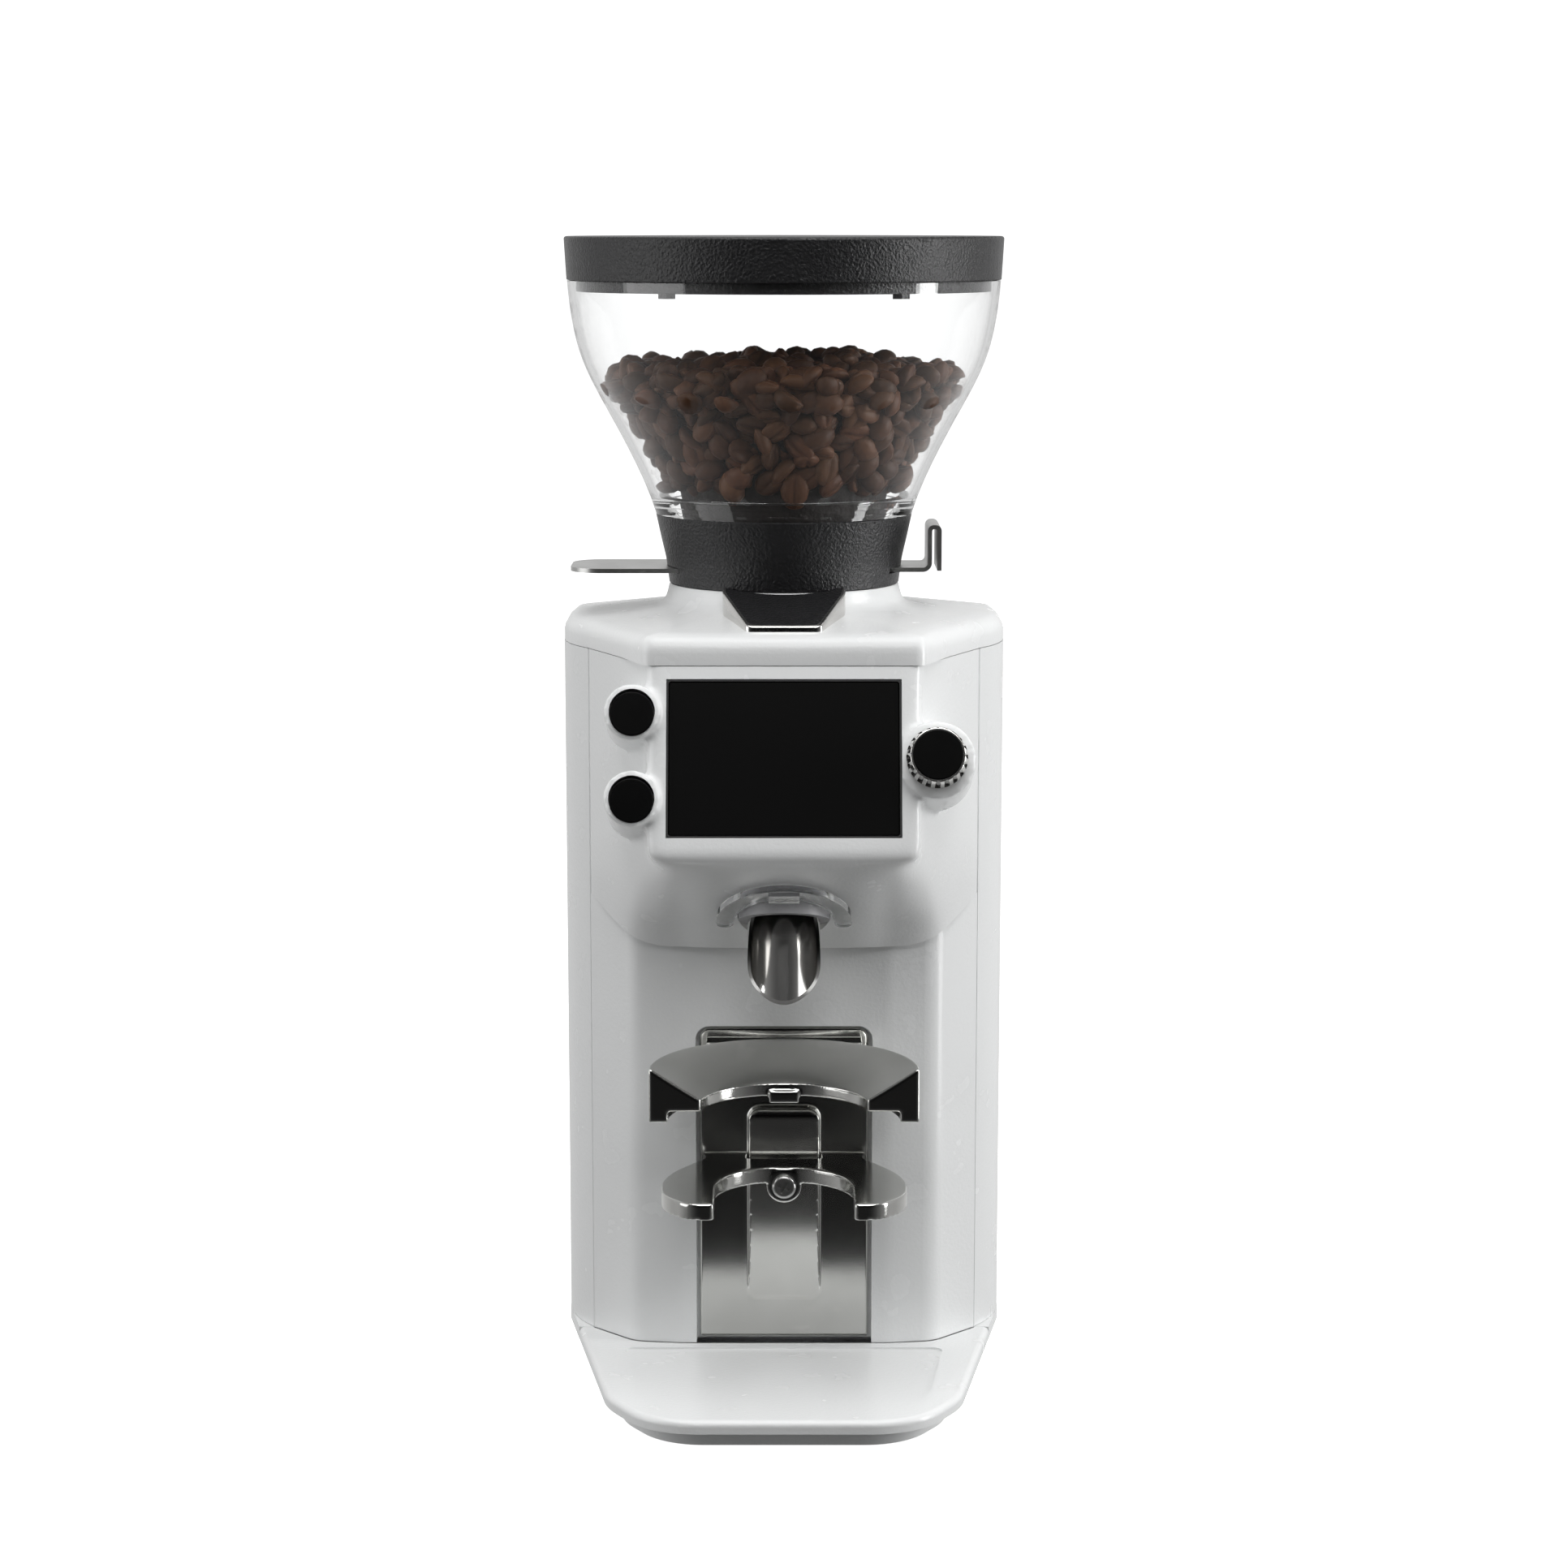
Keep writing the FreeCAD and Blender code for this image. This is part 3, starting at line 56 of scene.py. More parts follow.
bpy.context.scene.camera = camera

# --- Floor ----------------------------------------------------------------
# A plain sheet of white paper under the grinder. It glows a little, so that
# it runs into the white behind it without a horizon.
FLOOR_HALF = 30
PAPER_GLOW = 0.85
bpy.context.scene.view_settings.view_transform = "Standard"
floor_mesh = bmesh.new()
bmesh.ops.create_grid(floor_mesh, x_segments=1, y_segments=1, size=FLOOR_HALF)
floor_data = bpy.data.meshes.new("floor")
floor_mesh.to_mesh(floor_data)
floor_mesh.free()
floor = bpy.data.objects.new("floor", floor_data)
bpy.context.scene.collection.objects.link(floor)
paper = bpy.data.materials.new("white_paper")
paper.use_nodes = True
paper_shader = paper.node_tree.nodes["Principled BSDF"]
paper_shader.inputs["Base Color"].default_value = (0.9, 0.9, 0.9, 1)
paper_shader.inputs["Roughness"].default_value = 0.9
paper_shader.inputs["Specular IOR Level"].default_value = 0
paper_shader.inputs["Emission Color"].default_value = (1, 1, 1, 1)
paper_shader.inputs["Emission Strength"].default_value = PAPER_GLOW
floor_data.materials.append(paper)
floor.visible_diffuse = False
floor.visible_glossy = False
floor.visible_transmission = False

# --- Room -----------------------------------------------------------------
# A studio that is black in front and pale behind, which the metal and the
# gloss black reflect. Straight ahead, and straight through the clear
# hopper, it is plain white.
BACKDROP = 1.2
ROOM_FRONT, ROOM_BACK = 0.0, 0.9
world = bpy.data.worlds.new("studio")
bpy.context.scene.world = world
world.use_nodes = True
air = world.node_tree.nodes
air.clear()
air_links = world.node_tree.links
backdrop = air.new("ShaderNodeBackground")
backdrop.inputs["Color"].default_value = (1, 1, 1, 1)
backdrop.inputs["Strength"].default_value = BACKDROP
around = air.new("ShaderNodeBackground")
place = air.new("ShaderNodeTexCoord")
split = air.new("ShaderNodeSeparateXYZ")
air_links.new(place.outputs["Generated"], split.inputs[0])
room = air.new("ShaderNodeMapRange")
room.inputs["From Min"].default_value = -1
room.inputs["From Max"].default_value = 1
room.inputs["To Min"].default_value = ROOM_FRONT
room.inputs["To Max"].default_value = ROOM_BACK
air_links.new(split.outputs["Y"], room.inputs["Value"])
air_links.new(room.outputs[0], around.inputs["Strength"])
ray = air.new("ShaderNodeLightPath")
turned_back = air.new("ShaderNodeMath")
air_links.new(ray.outputs["Diffuse Depth"], turned_back.inputs[0])
air_links.new(ray.outputs["Glossy Depth"], turned_back.inputs[1])
never_turned = air.new("ShaderNodeMath")
never_turned.operation = "LESS_THAN"
never_turned.inputs[1].default_value = 0.5
air_links.new(turned_back.outputs[0], never_turned.inputs[0])
through = air.new("ShaderNodeMath")
through.operation = "MULTIPLY"
air_links.new(ray.outputs["Is Transmission Ray"], through.inputs[0])
air_links.new(never_turned.outputs[0], through.inputs[1])
straight = air.new("ShaderNodeMath")
straight.operation = "MAXIMUM"
air_links.new(ray.outputs["Is Camera Ray"], straight.inputs[0])
air_links.new(through.outputs[0], straight.inputs[1])
either = air.new("ShaderNodeMixShader")
air_links.new(straight.outputs[0], either.inputs[0])
air_links.new(around.outputs[0], either.inputs[1])
air_links.new(backdrop.outputs[0], either.inputs[2])
air_out = air.new("ShaderNodeOutputWorld")
air_links.new(either.outputs[0], air_out.inputs[0])

# --- Softboxes --------------------------------------------------------------
# A tall, narrow box on the right gives the bright streaks. A wide one fills
# the left, one hangs overhead, and one stands high in front.
MIDDLE = (0, 0, 0.25)
FORK_HEIGHT = (0, 0, 0.2)


def softbox(name, where, aim, width, height, power):
    """A rectangular light that stands at where and faces the point aim."""
    lamp = bpy.data.lights.new(name, "AREA")
    lamp.shape = "RECTANGLE"
    lamp.size = width
    lamp.size_y = height
    lamp.energy = power
    box = bpy.data.objects.new(name, lamp)
    box.location = where
    turn = (Vector(aim) - Vector(where)).to_track_quat("-Z", "Y")
    box.rotation_euler = turn.to_euler()
    box.visible_camera = False
    bpy.context.scene.collection.objects.link(box)


softbox("right_box", (1.5, -0.25, 0.42), MIDDLE, width=0.34, height=1.4, power=17)
softbox("left_box", (-1.6, -0.5, 0.5), MIDDLE, width=1.2, height=1.5, power=10)
softbox("top_box", (0, -0.4, 2.0), FORK_HEIGHT, width=1.6, height=1.3, power=22)
softbox("high_front_box", (0.2, -2.4, 2.4), FORK_HEIGHT, width=1.8, height=1.0, power=22)

# --- Base, side cover, front wall and tray ----------------------------------
# Cast and formed metal covers, and the loose tray on the base's front ledge.
# All have one satin white powder coat, whose fine orange peel shows where a
# light grazes it.
FLAKE = 9


def new_finish(name, colour, shade, roughness, spread, scale, depth, **sockets):
    """A finish between two colours, with a roughness give or take a spread, and a grain."""
    finish = bpy.data.materials.new(name)
    finish.use_nodes = True
    tree = finish.node_tree
    shader = tree.nodes["Principled BSDF"]
    for socket, value in sockets.items():
        shader.inputs[socket.replace("_", " ")].default_value = value
    where = tree.nodes.new("ShaderNodeTexCoord")
    grain = tree.nodes.new("ShaderNodeTexNoise")
    grain.inputs["Scale"].default_value = scale
    grain.inputs["Detail"].default_value = 3
    tree.links.new(where.outputs["Object"], grain.inputs["Vector"])
    patches = tree.nodes.new("ShaderNodeTexNoise")
    patches.inputs["Scale"].default_value = scale / FLAKE
    tree.links.new(where.outputs["Object"], patches.inputs["Vector"])
    tint = tree.nodes.new("ShaderNodeMix")
    tint.data_type = "RGBA"
    tint.inputs[6].default_value = (*colour, 1)
    tint.inputs[7].default_value = (*shade, 1)
    tree.links.new(patches.outputs["Fac"], tint.inputs[0])
    tree.links.new(tint.outputs[2], shader.inputs["Base Color"])
    gloss = tree.nodes.new("ShaderNodeMapRange")
    gloss.inputs["To Min"].default_value = roughness - spread
    gloss.inputs["To Max"].default_value = roughness + spread
    tree.links.new(patches.outputs["Fac"], gloss.inputs["Value"])
    tree.links.new(gloss.outputs[0], shader.inputs["Roughness"])
    relief = tree.nodes.new("ShaderNodeBump")
    relief.inputs["Strength"].default_value = 1.0
    relief.inputs["Distance"].default_value = depth
    tree.links.new(grain.outputs["Fac"], relief.inputs["Height"])
    tree.links.new(relief.outputs[0], shader.inputs["Normal"])
    return finish


def give(finish, *names):
    """Puts a finish on every material slot of the CAD nodes of those names."""
    for name in names:
        for slot in nodes[name].material_slots:
            slot.material = finish


white_coat = new_finish("white_coat", (0.82, 0.83, 0.83), (0.81, 0.82, 0.82), 0.27, 0.012, 620, 0.00009)
give(white_coat, "base_frame", "side_shell", "lower_front_panel", "grounds_tray")

# --- Head -----------------------------------------------------------------
# The cast front of the head: a leaning display box between two flat cheeks,
# round bosses for the buttons and the knob, and an underside that sweeps back
# into the wall round a soft block for the chute. One casting, coated white.
MM = 0.001
AXIS_Y = 15
FACE_Y = -104.2
FACE_Z = 283.9
LEAN = math.radians(16.8)
CHEEK_Y = -88
HEAD_WALL = 0.0034
BLEND_GRID = 0.0011
BOSSES = {"upper_button": (0.0118, 0.034), "lower_button": (0.0118, 0.044), "knob_ring": (0.0164, 0.040)}
BOSS_TAPER = 1.04
BOSS_STANDS_OUT = 0.003
WINDOW = (0.0982, 0.0668, 0.030)
BORES = {"upper_button": 0.0096, "lower_button": 0.0096, "knob_spindle": 0.0065}
BORE_SPARE = 0.01
CHUTE_BORE = 0.0198
CHUTE_BORE_AT = (0, (-80 + AXIS_Y) * MM, 0.2135)
CHUTE_TURN = math.radians(160)
TOP_SEAM = 0.3210
LOWER_SEAM = [(100, 150), (100, 226.8), (88, 216.0), (84, 212.1), (79, 207.3), (72, 202.0), (66, 198.2),
              (60, 195.7), (54, 194.3), (48, 194.1)]
BOX_HEIGHTS = (330, 316, 300, 284, 268, 256, 249)


def face_y(height):
    """How far forward the display face stands at a height."""
    return FACE_Y + (height - FACE_Z) * math.tan(LEAN)


def box_row(height, inset=0.0, sink=0.0):
    """Outline of the right half of the head across the display box, from the side cover to the middle."""
    front = face_y(height) + sink
    depth = CHEEK_Y - front
    crease = CHEEK_Y - min(0.3 * depth, 2.5)
    side = front + min(3.5, 0.45 * depth)
    plan = [(85.3, -31.0), (80.4, -41.3), (70.3, -62.3), (62.6, -79.0), (59.4, -86.2), (57.6, crease),
            (57.3 - 0.6 * inset, side), (56.3 - inset, front + 1.0), (53.5 - inset, front)]
    plan += [(49 - 0.4 * inset, front), (36, front), (18, front), (0, front)]
    return [(x, y, height) for x, y in plan]


underside = [
    [(85.3, -31, 240), (80.4, -41.3, 240), (70.3, -62.3, 240), (62.8, -78.5, 240), (59.5, -85.5, 239.6),
     (57, -90.5, 239.3), (53.8, -97.5, 239.2), (51.8, -104, 239.4), (49, -109, 239.6), (45, -111.5, 239.4),
     (35, -112.3, 239), (18, -112.3, 238.6), (0, -112.3, 238.6)],
    [(85.3, -31, 232), (80.3, -41, 232), (70.6, -60.8, 232), (63.8, -75, 231.6), (60.8, -81, 231.4),
     (58, -86, 231.3), (54.5, -91, 231.5), (51, -95, 231.8), (47, -98, 232), (42.5, -99.5, 231.8),
     (34.5, -102.5, 231), (18, -103, 230.4), (0, -103, 230.4)],
    [(85.3, -31, 224), (80.1, -40, 223), (71.2, -57.3, 222), (65.5, -67.5, 221.6), (62.8, -72, 221.6),
     (60, -75.5, 221.8), (56.5, -79, 222), (53, -82, 222), (48.5, -84.5, 222), (43, -86, 221.8),
     (34.5, -91, 221.6), (18, -92, 221.5), (0, -92, 221.5)],
    [(85.3, -31, 218), (79.9, -38.3, 216), (72.2, -51, 211), (67.5, -58.5, 210), (64.8, -62, 210),
     (62, -64.5, 210), (58.5, -66.8, 210), (54.5, -68.5, 210), (49.5, -70, 210), (43, -71.3, 210),
     (34.5, -78.5, 211.6), (18, -80.5, 212.3), (0, -80.5, 212.3)],
    [(85.3, -31, 215), (79.7, -37.8, 210), (73, -46.4, 203.5), (68.5, -52, 202), (66, -54.2, 201.5),
     (63, -56, 201), (59, -57.4, 201), (54.5, -58.5, 201), (49.5, -59.3, 201), (43, -60.2, 201),
     (34.5, -65.5, 201.8), (18, -68, 202.3), (0, -68, 202.3)],
    [(85.3, -31, 205), (79.3, -37.0, 199), (73.4, -43.4, 192), (69.2, -47.6, 188), (66.6, -49.6, 188),
     (63, -51.2, 188), (59, -52.2, 188), (54.5, -52.9, 188), (49.5, -53.5, 188), (43, -53.8, 188),
     (34.5, -54.2, 188), (18, -54.6, 188), (0, -54.6, 188)],
]
rows = [box_row(height) for height in BOX_HEIGHTS]
rows += [box_row(244.2, 1.2, 0.2), box_row(241.8, 3.2, 2.2)] + underside

head = bmesh.new()
start = [head.verts.new((x, y + AXIS_Y, z)) for x, y, z in rows[0]]
edges = [head.edges.new(pair) for pair in zip(start, start[1:])]
for row in rows[1:]:
    grown = bmesh.ops.extrude_edge_only(head, edges=edges)["geom"]
    edges = [part for part in grown if isinstance(part, bmesh.types.BMEdge)]
    corners = [part for part in grown if isinstance(part, bmesh.types.BMVert)]
    edges = [edge for edge in edges if all(end in corners for end in edge.verts)]
    for corner, (x, y, z) in zip(sorted(corners, key=lambda end: -end.co.x), row):
        corner.co = (x, y + AXIS_Y, z)
half = head.verts[:] + head.edges[:] + head.faces[:]
bmesh.ops.mirror(head, geom=half, axis="X", merge_dist=0.01)
bmesh.ops.recalc_face_normals(head, faces=head.faces)


def piece_from(shape, name, finish, scale=1.0):
    """Turns a drawn shape into a smooth named piece with one finish."""
    bmesh.ops.scale(shape, vec=(scale, scale, scale), verts=shape.verts)
    data = bpy.data.meshes.new(name)
    shape.to_mesh(data)
    shape.free()
    data.shade_smooth()
    data.materials.append(finish)
    made = bpy.data.objects.new(name, data)
    bpy.context.scene.collection.objects.link(made)
    return made


def settle(made):
    """Applies a piece's modifiers to its mesh."""
    bpy.context.view_layer.update()
    final = bpy.data.meshes.new_from_object(made.evaluated_get(bpy.context.evaluated_depsgraph_get()))
    made.modifiers.clear()
    old = made.data
    made.data = final
    bpy.data.meshes.remove(old)


head_piece = piece_from(head, "head", white_coat, MM)
round_off = head_piece.modifiers.new("round_off", "SUBSURF")
round_off.levels = round_off.render_levels = 2
wall = head_piece.modifiers.new("wall", "SOLIDIFY")
wall.thickness = HEAD_WALL
wall.offset = -1
wall.use_even_offset = True
settle(head_piece)

# the bosses stand square to the display face and carry the buttons and the knob
face_turn = Matrix.Rotation(math.pi / 2 - LEAN, 4, "X")
outwards = face_turn @ Vector((0, 0, 1))
face_middle = Vector((0, (FACE_Y + AXIS_Y) * MM, FACE_Z * MM))
bosses = bmesh.new()
bosses.from_mesh(head_piece.data)
for node, (radius, length) in BOSSES.items():
    low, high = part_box(node)
    middle = (low + high) / 2
    gap = (face_middle - middle).dot(outwards)
    made = bmesh.ops.create_cone(bosses, cap_ends=True, segments=64, radius1=radius * BOSS_TAPER,
                                 radius2=radius, depth=length)["verts"]
    spot = Matrix.Translation(middle + outwards * (gap + BOSS_STANDS_OUT - length / 2)) @ face_turn
    bmesh.ops.transform(bosses, matrix=spot, verts=made)
bosses.to_mesh(head_piece.data)
bosses.free()
blend_in = head_piece.modifiers.new("blend_in", "REMESH")
blend_in.mode = "VOXEL"
blend_in.voxel_size = BLEND_GRID
blend_in.use_smooth_shade = True
soften = head_piece.modifiers.new("soften", "SMOOTH")
soften.factor = 0.5
soften.iterations = 8
settle(head_piece)


def cutter(shape, spot):
    """A hidden closed block for cutting a hole, moved to its spot."""
    bmesh.ops.transform(shape, matrix=spot, verts=shape.verts)
    bmesh.ops.recalc_face_normals(shape, faces=shape.faces)
    data = bpy.data.meshes.new("cutter")
    shape.to_mesh(data)
    shape.free()
    made = bpy.data.objects.new("cutter", data)
    bpy.context.scene.collection.objects.link(made)
    return made


def cut(body, tool):
    """Cuts a hidden block out of a piece and removes it."""
    hole = body.modifiers.new("hole", "BOOLEAN")
    hole.object = tool
    hole.operation = "DIFFERENCE"
    hole.solver = "MANIFOLD"
    settle(body)
    shape = tool.data
    bpy.data.objects.remove(tool)
    bpy.data.meshes.remove(shape)


def round_bar(radius, length, segments=96):
    """A round bar along Z for boring a hole."""
    bar = bmesh.new()
    bmesh.ops.create_cone(bar, cap_ends=True, segments=segments, radius1=radius, radius2=radius, depth=length)
    return bar


window = bmesh.new()
bmesh.ops.create_cube(window, size=1, matrix=Matrix.Diagonal((*WINDOW, 1)))
cut(head_piece, cutter(window, Matrix.Translation(face_middle) @ face_turn))
for node, radius in BORES.items():
    low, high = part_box(node)
    bore = round_bar(radius, (high - low).length + BORE_SPARE)
    cut(head_piece, cutter(bore, Matrix.Translation((low + high) / 2) @ face_turn))
chute_spot = Matrix.Translation(CHUTE_BORE_AT) @ Matrix.Rotation(CHUTE_TURN, 4, "X")
cut(head_piece, cutter(round_bar(CHUTE_BORE, 0.06), chute_spot))
# the seams with the top cover above and the front wall below
above = bmesh.new()
bmesh.ops.create_cube(above, size=1, matrix=Matrix.Diagonal((0.3, 0.3, 0.1, 1)))
cut(head_piece, cutter(above, Matrix.Translation((0, 0, TOP_SEAM + 0.05))))
below = bmesh.new()
outline = [below.verts.new((x * MM, -0.2, z * MM)) for x, z in LOWER_SEAM]
outline += [below.verts.new((-x * MM, -0.2, z * MM)) for x, z in reversed(LOWER_SEAM)]
seam_face = below.faces.new(outline)
pulled = bmesh.ops.extrude_face_region(below, geom=[seam_face])["geom"]
far_side = [part for part in pulled if isinstance(part, bmesh.types.BMVert)]
bmesh.ops.translate(below, vec=(0, 0.4, 0), verts=far_side)
cut(head_piece, cutter(below, Matrix.Identity(4)))
head_piece.data.shade_smooth()
head_piece.data.set_sharp_from_angle(angle=math.radians(38))
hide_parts("head_housing")
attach(head_piece, "stand")

# --- Top cover --------------------------------------------------------------
# The coated lid of the body: a rounded shoulder all round, and a top that
# rises gently to the round neck under the hopper and falls a little behind.
NECK_FOOT = 58.0
SHOULDER = [(0, 321.3), (0, 326.0), (0.5, 328.2), (1.7, 330.2), (3.8, 331.9), (6.6, 333.0)]
SLOPE = [(0.25, 334.2), (0.5, 335.2), (0.75, 336.2), (1.0, 337.2)]
NECK = [(55.8, 337.8), (53.4, 339.2), (52.1, 341.0), (51.3, 343.6), (50.7, 346.2), (50.2, 347.0),
        (34.0, 347.0)]
HALF_PLAN = [(97.5, 126.5, 31.5), (97.5, -13.6, 18.9), (85.3, -31.0, 0), (69.8, -63.5, 6), (58.5, -93.2, 3.5)]
FALL_FROM = 30
FALL = 0.085
COVER_GAUGE = 0.0022
LONGEST_EDGE = 9
FRONT_EDGE_Y = -85
FRONT_SHARE = 0.6
cover = bmesh.new()
plan = cover.verts.layers.float_vector.new("plan")
corners = HALF_PLAN + [(-x, y, reach) for x, y, reach in reversed(HALF_PLAN)]
made = [cover.verts.new((x, y, SHOULDER[0][1])) for x, y, reach in corners]
cover.faces.new(made)
for corner, (x, y, reach) in zip(made, corners):
    if reach:
        bmesh.ops.bevel(cover, geom=[corner], offset=reach, offset_type="OFFSET", affect="VERTICES",
                        segments=7, profile=0.5, material=-1)
for edge in cover.edges[:]:
    if edge.calc_length() > LONGEST_EDGE:
        bmesh.ops.subdivide_edges(cover, edges=[edge], cuts=int(edge.calc_length() / 7))
for vert in cover.verts:
    vert[plan] = vert.co
bmesh.ops.delete(cover, geom=cover.faces[:], context="FACES_ONLY")


def raise_ring(shell, ring, place):
    """Extrudes a ring of edges and puts each new corner where place says, from its point of the plan."""
    grown = bmesh.ops.extrude_edge_only(shell, edges=ring)["geom"]
    fresh = [part for part in grown if isinstance(part, bmesh.types.BMVert)]
    for corner in fresh:
        corner.co = place(corner[plan])
    risen = [part for part in grown if isinstance(part, bmesh.types.BMEdge)]
    return [edge for edge in risen if all(end in fresh for end in edge.verts)]


def fall(point):
    """How far the top has fallen at a plan point, as it slopes down towards the back."""
    return FALL * max(0, point.y - FALL_FROM)


def pulled_in(point, inset, height):
    """A plan point moved towards the axis by an inset that is smaller along the front."""
    flat = Vector((point.x, point.y, 0))
    share = FRONT_SHARE if point.y < FRONT_EDGE_Y else 1.0
    foot, top = SHOULDER[0][1], SHOULDER[-1][1]
    lowered = height - fall(point) * (height - foot) / (top - foot)
    return flat - flat.normalized() * inset * share + Vector((0, 0, lowered))


def round_the_neck(point, radius, height):
    """The point of a round ring that lies the same way from the axis as a plan point."""
    return Vector((point.x, point.y, 0)).normalized() * radius + Vector((0, 0, height))


ring = cover.edges[:]
for inset, height in SHOULDER[1:]:
    ring = raise_ring(cover, ring, lambda point: pulled_in(point, inset, height))
for share, _ in SLOPE:
    ring = raise_ring(cover, ring, lambda point: pulled_in(point, *SHOULDER[-1]).lerp(
        round_the_neck(point, NECK_FOOT, SLOPE[-1][1]), share))
for radius, height in NECK:
    ring = raise_ring(cover, ring, lambda point: round_the_neck(point, radius, height))
bmesh.ops.translate(cover, vec=(0, AXIS_Y, 0), verts=cover.verts)
bmesh.ops.recalc_face_normals(cover, faces=cover.faces)
cover_piece = piece_from(cover, "cover", white_coat, MM)
gauge = cover_piece.modifiers.new("gauge", "SOLIDIFY")
gauge.thickness = COVER_GAUGE
gauge.offset = -1
settle(cover_piece)
cover_piece.data.set_sharp_from_angle(angle=math.radians(50))
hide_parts("top_cover")
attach(cover_piece, "stand")

# --- Badge ------------------------------------------------------------------
# A wedge of polished metal under the collar, with a dark grained plate let
# into its sloping face. The plate is plain.
BADGE_BACK = -42.0
BADGE_BEND = -50
BADGE_FRONT = -81.5
BADGE_HEIGHTS = (346.9, 336.4)
BADGE_FOOT = 331.0
BADGE_HALF_WIDTHS = (26.4, 15.8)
BADGE_CORNER = 2.2
RIM_WIDTH = 1.3
PLATE_STANDS_OUT = 0.15
COLLAR_RADIUS = 0.0514
COLLAR_MIDDLE = (0, AXIS_Y * MM, 0.345)
RIM_ROUND = 0.0007
bright_metal = new_finish("bright_metal", (0.78, 0.77, 0.75), (0.72, 0.71, 0.69), 0.13, 0.03, 500, 0.000004,
                          Metallic=1.0)
black_grain = new_finish("black_grain", (0.008, 0.008, 0.009), (0.011, 0.011, 0.012), 0.36, 0.05, 800,
                         0.0006)


def badge_wedge(margin, raised):
    """Wedge on the badge's outline, smaller by a margin, with its face raised."""
    wedge = bmesh.new()
    back, tip = BADGE_HALF_WIDTHS
    slope = (BADGE_HEIGHTS[0] - BADGE_HEIGHTS[1]) / (BADGE_BEND - BADGE_FRONT)
    half = [(back - margin, BADGE_BACK), (back - margin, BADGE_BEND + 1), (tip - margin, BADGE_FRONT + margin)]
    made = []
    for x, y in half + [(-x, y) for x, y in reversed(half)]:
        made.append(wedge.verts.new((x, y, BADGE_HEIGHTS[0] + (y - BADGE_BEND) * slope + raised)))
    wedge.faces.new(made)
    bmesh.ops.bevel(wedge, geom=made[1:5], offset=BADGE_CORNER, offset_type="OFFSET", affect="VERTICES",
                    segments=4, profile=0.5, material=-1)
    under = bmesh.ops.extrude_face_region(wedge, geom=wedge.faces[:])["geom"]
    for part in under:
        if isinstance(part, bmesh.types.BMVert):
            part.co.z = BADGE_FOOT
    bmesh.ops.translate(wedge, vec=(0, AXIS_Y, 0), verts=wedge.verts)
    bmesh.ops.recalc_face_normals(wedge, faces=wedge.faces)
    return wedge


def trim_to_neck(piece):
    """Cuts away what would stand inside the collar."""
    cut(piece, cutter(round_bar(COLLAR_RADIUS, 0.04, 128), Matrix.Translation(COLLAR_MIDDLE)))


badge_rim = piece_from(badge_wedge(0, 0), "badge_rim", bright_metal, MM)
trim_to_neck(badge_rim)
edge_round = badge_rim.modifiers.new("edge_round", "BEVEL")
edge_round.width = RIM_ROUND
edge_round.segments = 3
edge_round.limit_method = "ANGLE"
settle(badge_rim)
badge_rim.data.set_sharp_from_angle(angle=math.radians(45))
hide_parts("badge_frame")
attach(badge_rim, "stand")
badge_face = piece_from(badge_wedge(RIM_WIDTH, PLATE_STANDS_OUT), "badge_face", black_grain, MM)
trim_to_neck(badge_face)
badge_face.data.set_sharp_from_angle(angle=math.radians(45))
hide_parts("badge_plate")
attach(badge_face, "stand")

# --- Display ----------------------------------------------------------------
# A sheet of dark glass in a moulded black bezel, with the panel and its
# green board behind. It is switched off.
display = new_finish("display", (0.005, 0.005, 0.005), (0.006, 0.006, 0.006), 0.10, 0.02, 60, 0.000001)
give(display, "display_glass")
black_satin = new_finish("black_satin", (0.015, 0.015, 0.015), (0.02, 0.02, 0.02), 0.4, 0.05, 700, 0.00003)
give(black_satin, "display_bezel")
circuit = new_finish("circuit", (0.02, 0.12, 0.05), (0.03, 0.16, 0.07), 0.35, 0.05, 300, 0.00002)
give(circuit, "display_module")

# --- Buttons and knob -------------------------------------------------------
# Two moulded black buttons over their push switches, and the knob: a black
# cap in a notched bright ring, on a steel spindle in a brass bush.
gloss_black = new_finish("gloss_black", (0.001, 0.001, 0.001), (0.002, 0.002, 0.002), 0.3, 0.05, 700,
                         0.000005, Specular_IOR_Level=0.08)
give(gloss_black, "upper_button", "lower_button", "knob_cap")
give(circuit, "button_switches")
give(bright_metal, "knob_ring")
steel = new_finish("steel", (0.55, 0.55, 0.54), (0.48, 0.48, 0.47), 0.34, 0.08, 700, 0.00001, Metallic=1.0)
give(steel, "knob_spindle")
brass = new_finish("brass", (0.72, 0.53, 0.25), (0.62, 0.45, 0.2), 0.3, 0.05, 500, 0.00001, Metallic=1.0)
give(brass, "knob_bushing")

# --- Chute and light --------------------------------------------------------
# The scooped bright tube that the coffee falls from, in its grey plastic
# collar, and the clear crescent lens over the row of lamps round it.
give(bright_metal, "chute_tube")
grey_plastic = new_finish("grey_plastic", (0.32, 0.32, 0.33), (0.28, 0.28, 0.29), 0.45, 0.05, 800, 0.00004)
give(grey_plastic, "chute_collar")
clear_plastic = new_finish("clear_plastic", (1, 1, 1), (0.99, 1, 1), 0.03, 0.01, 30, 0.000002,
                           Transmission_Weight=1.0, IOR=1.46)
give(clear_plastic, "light_lens")
give(circuit, "led_board")

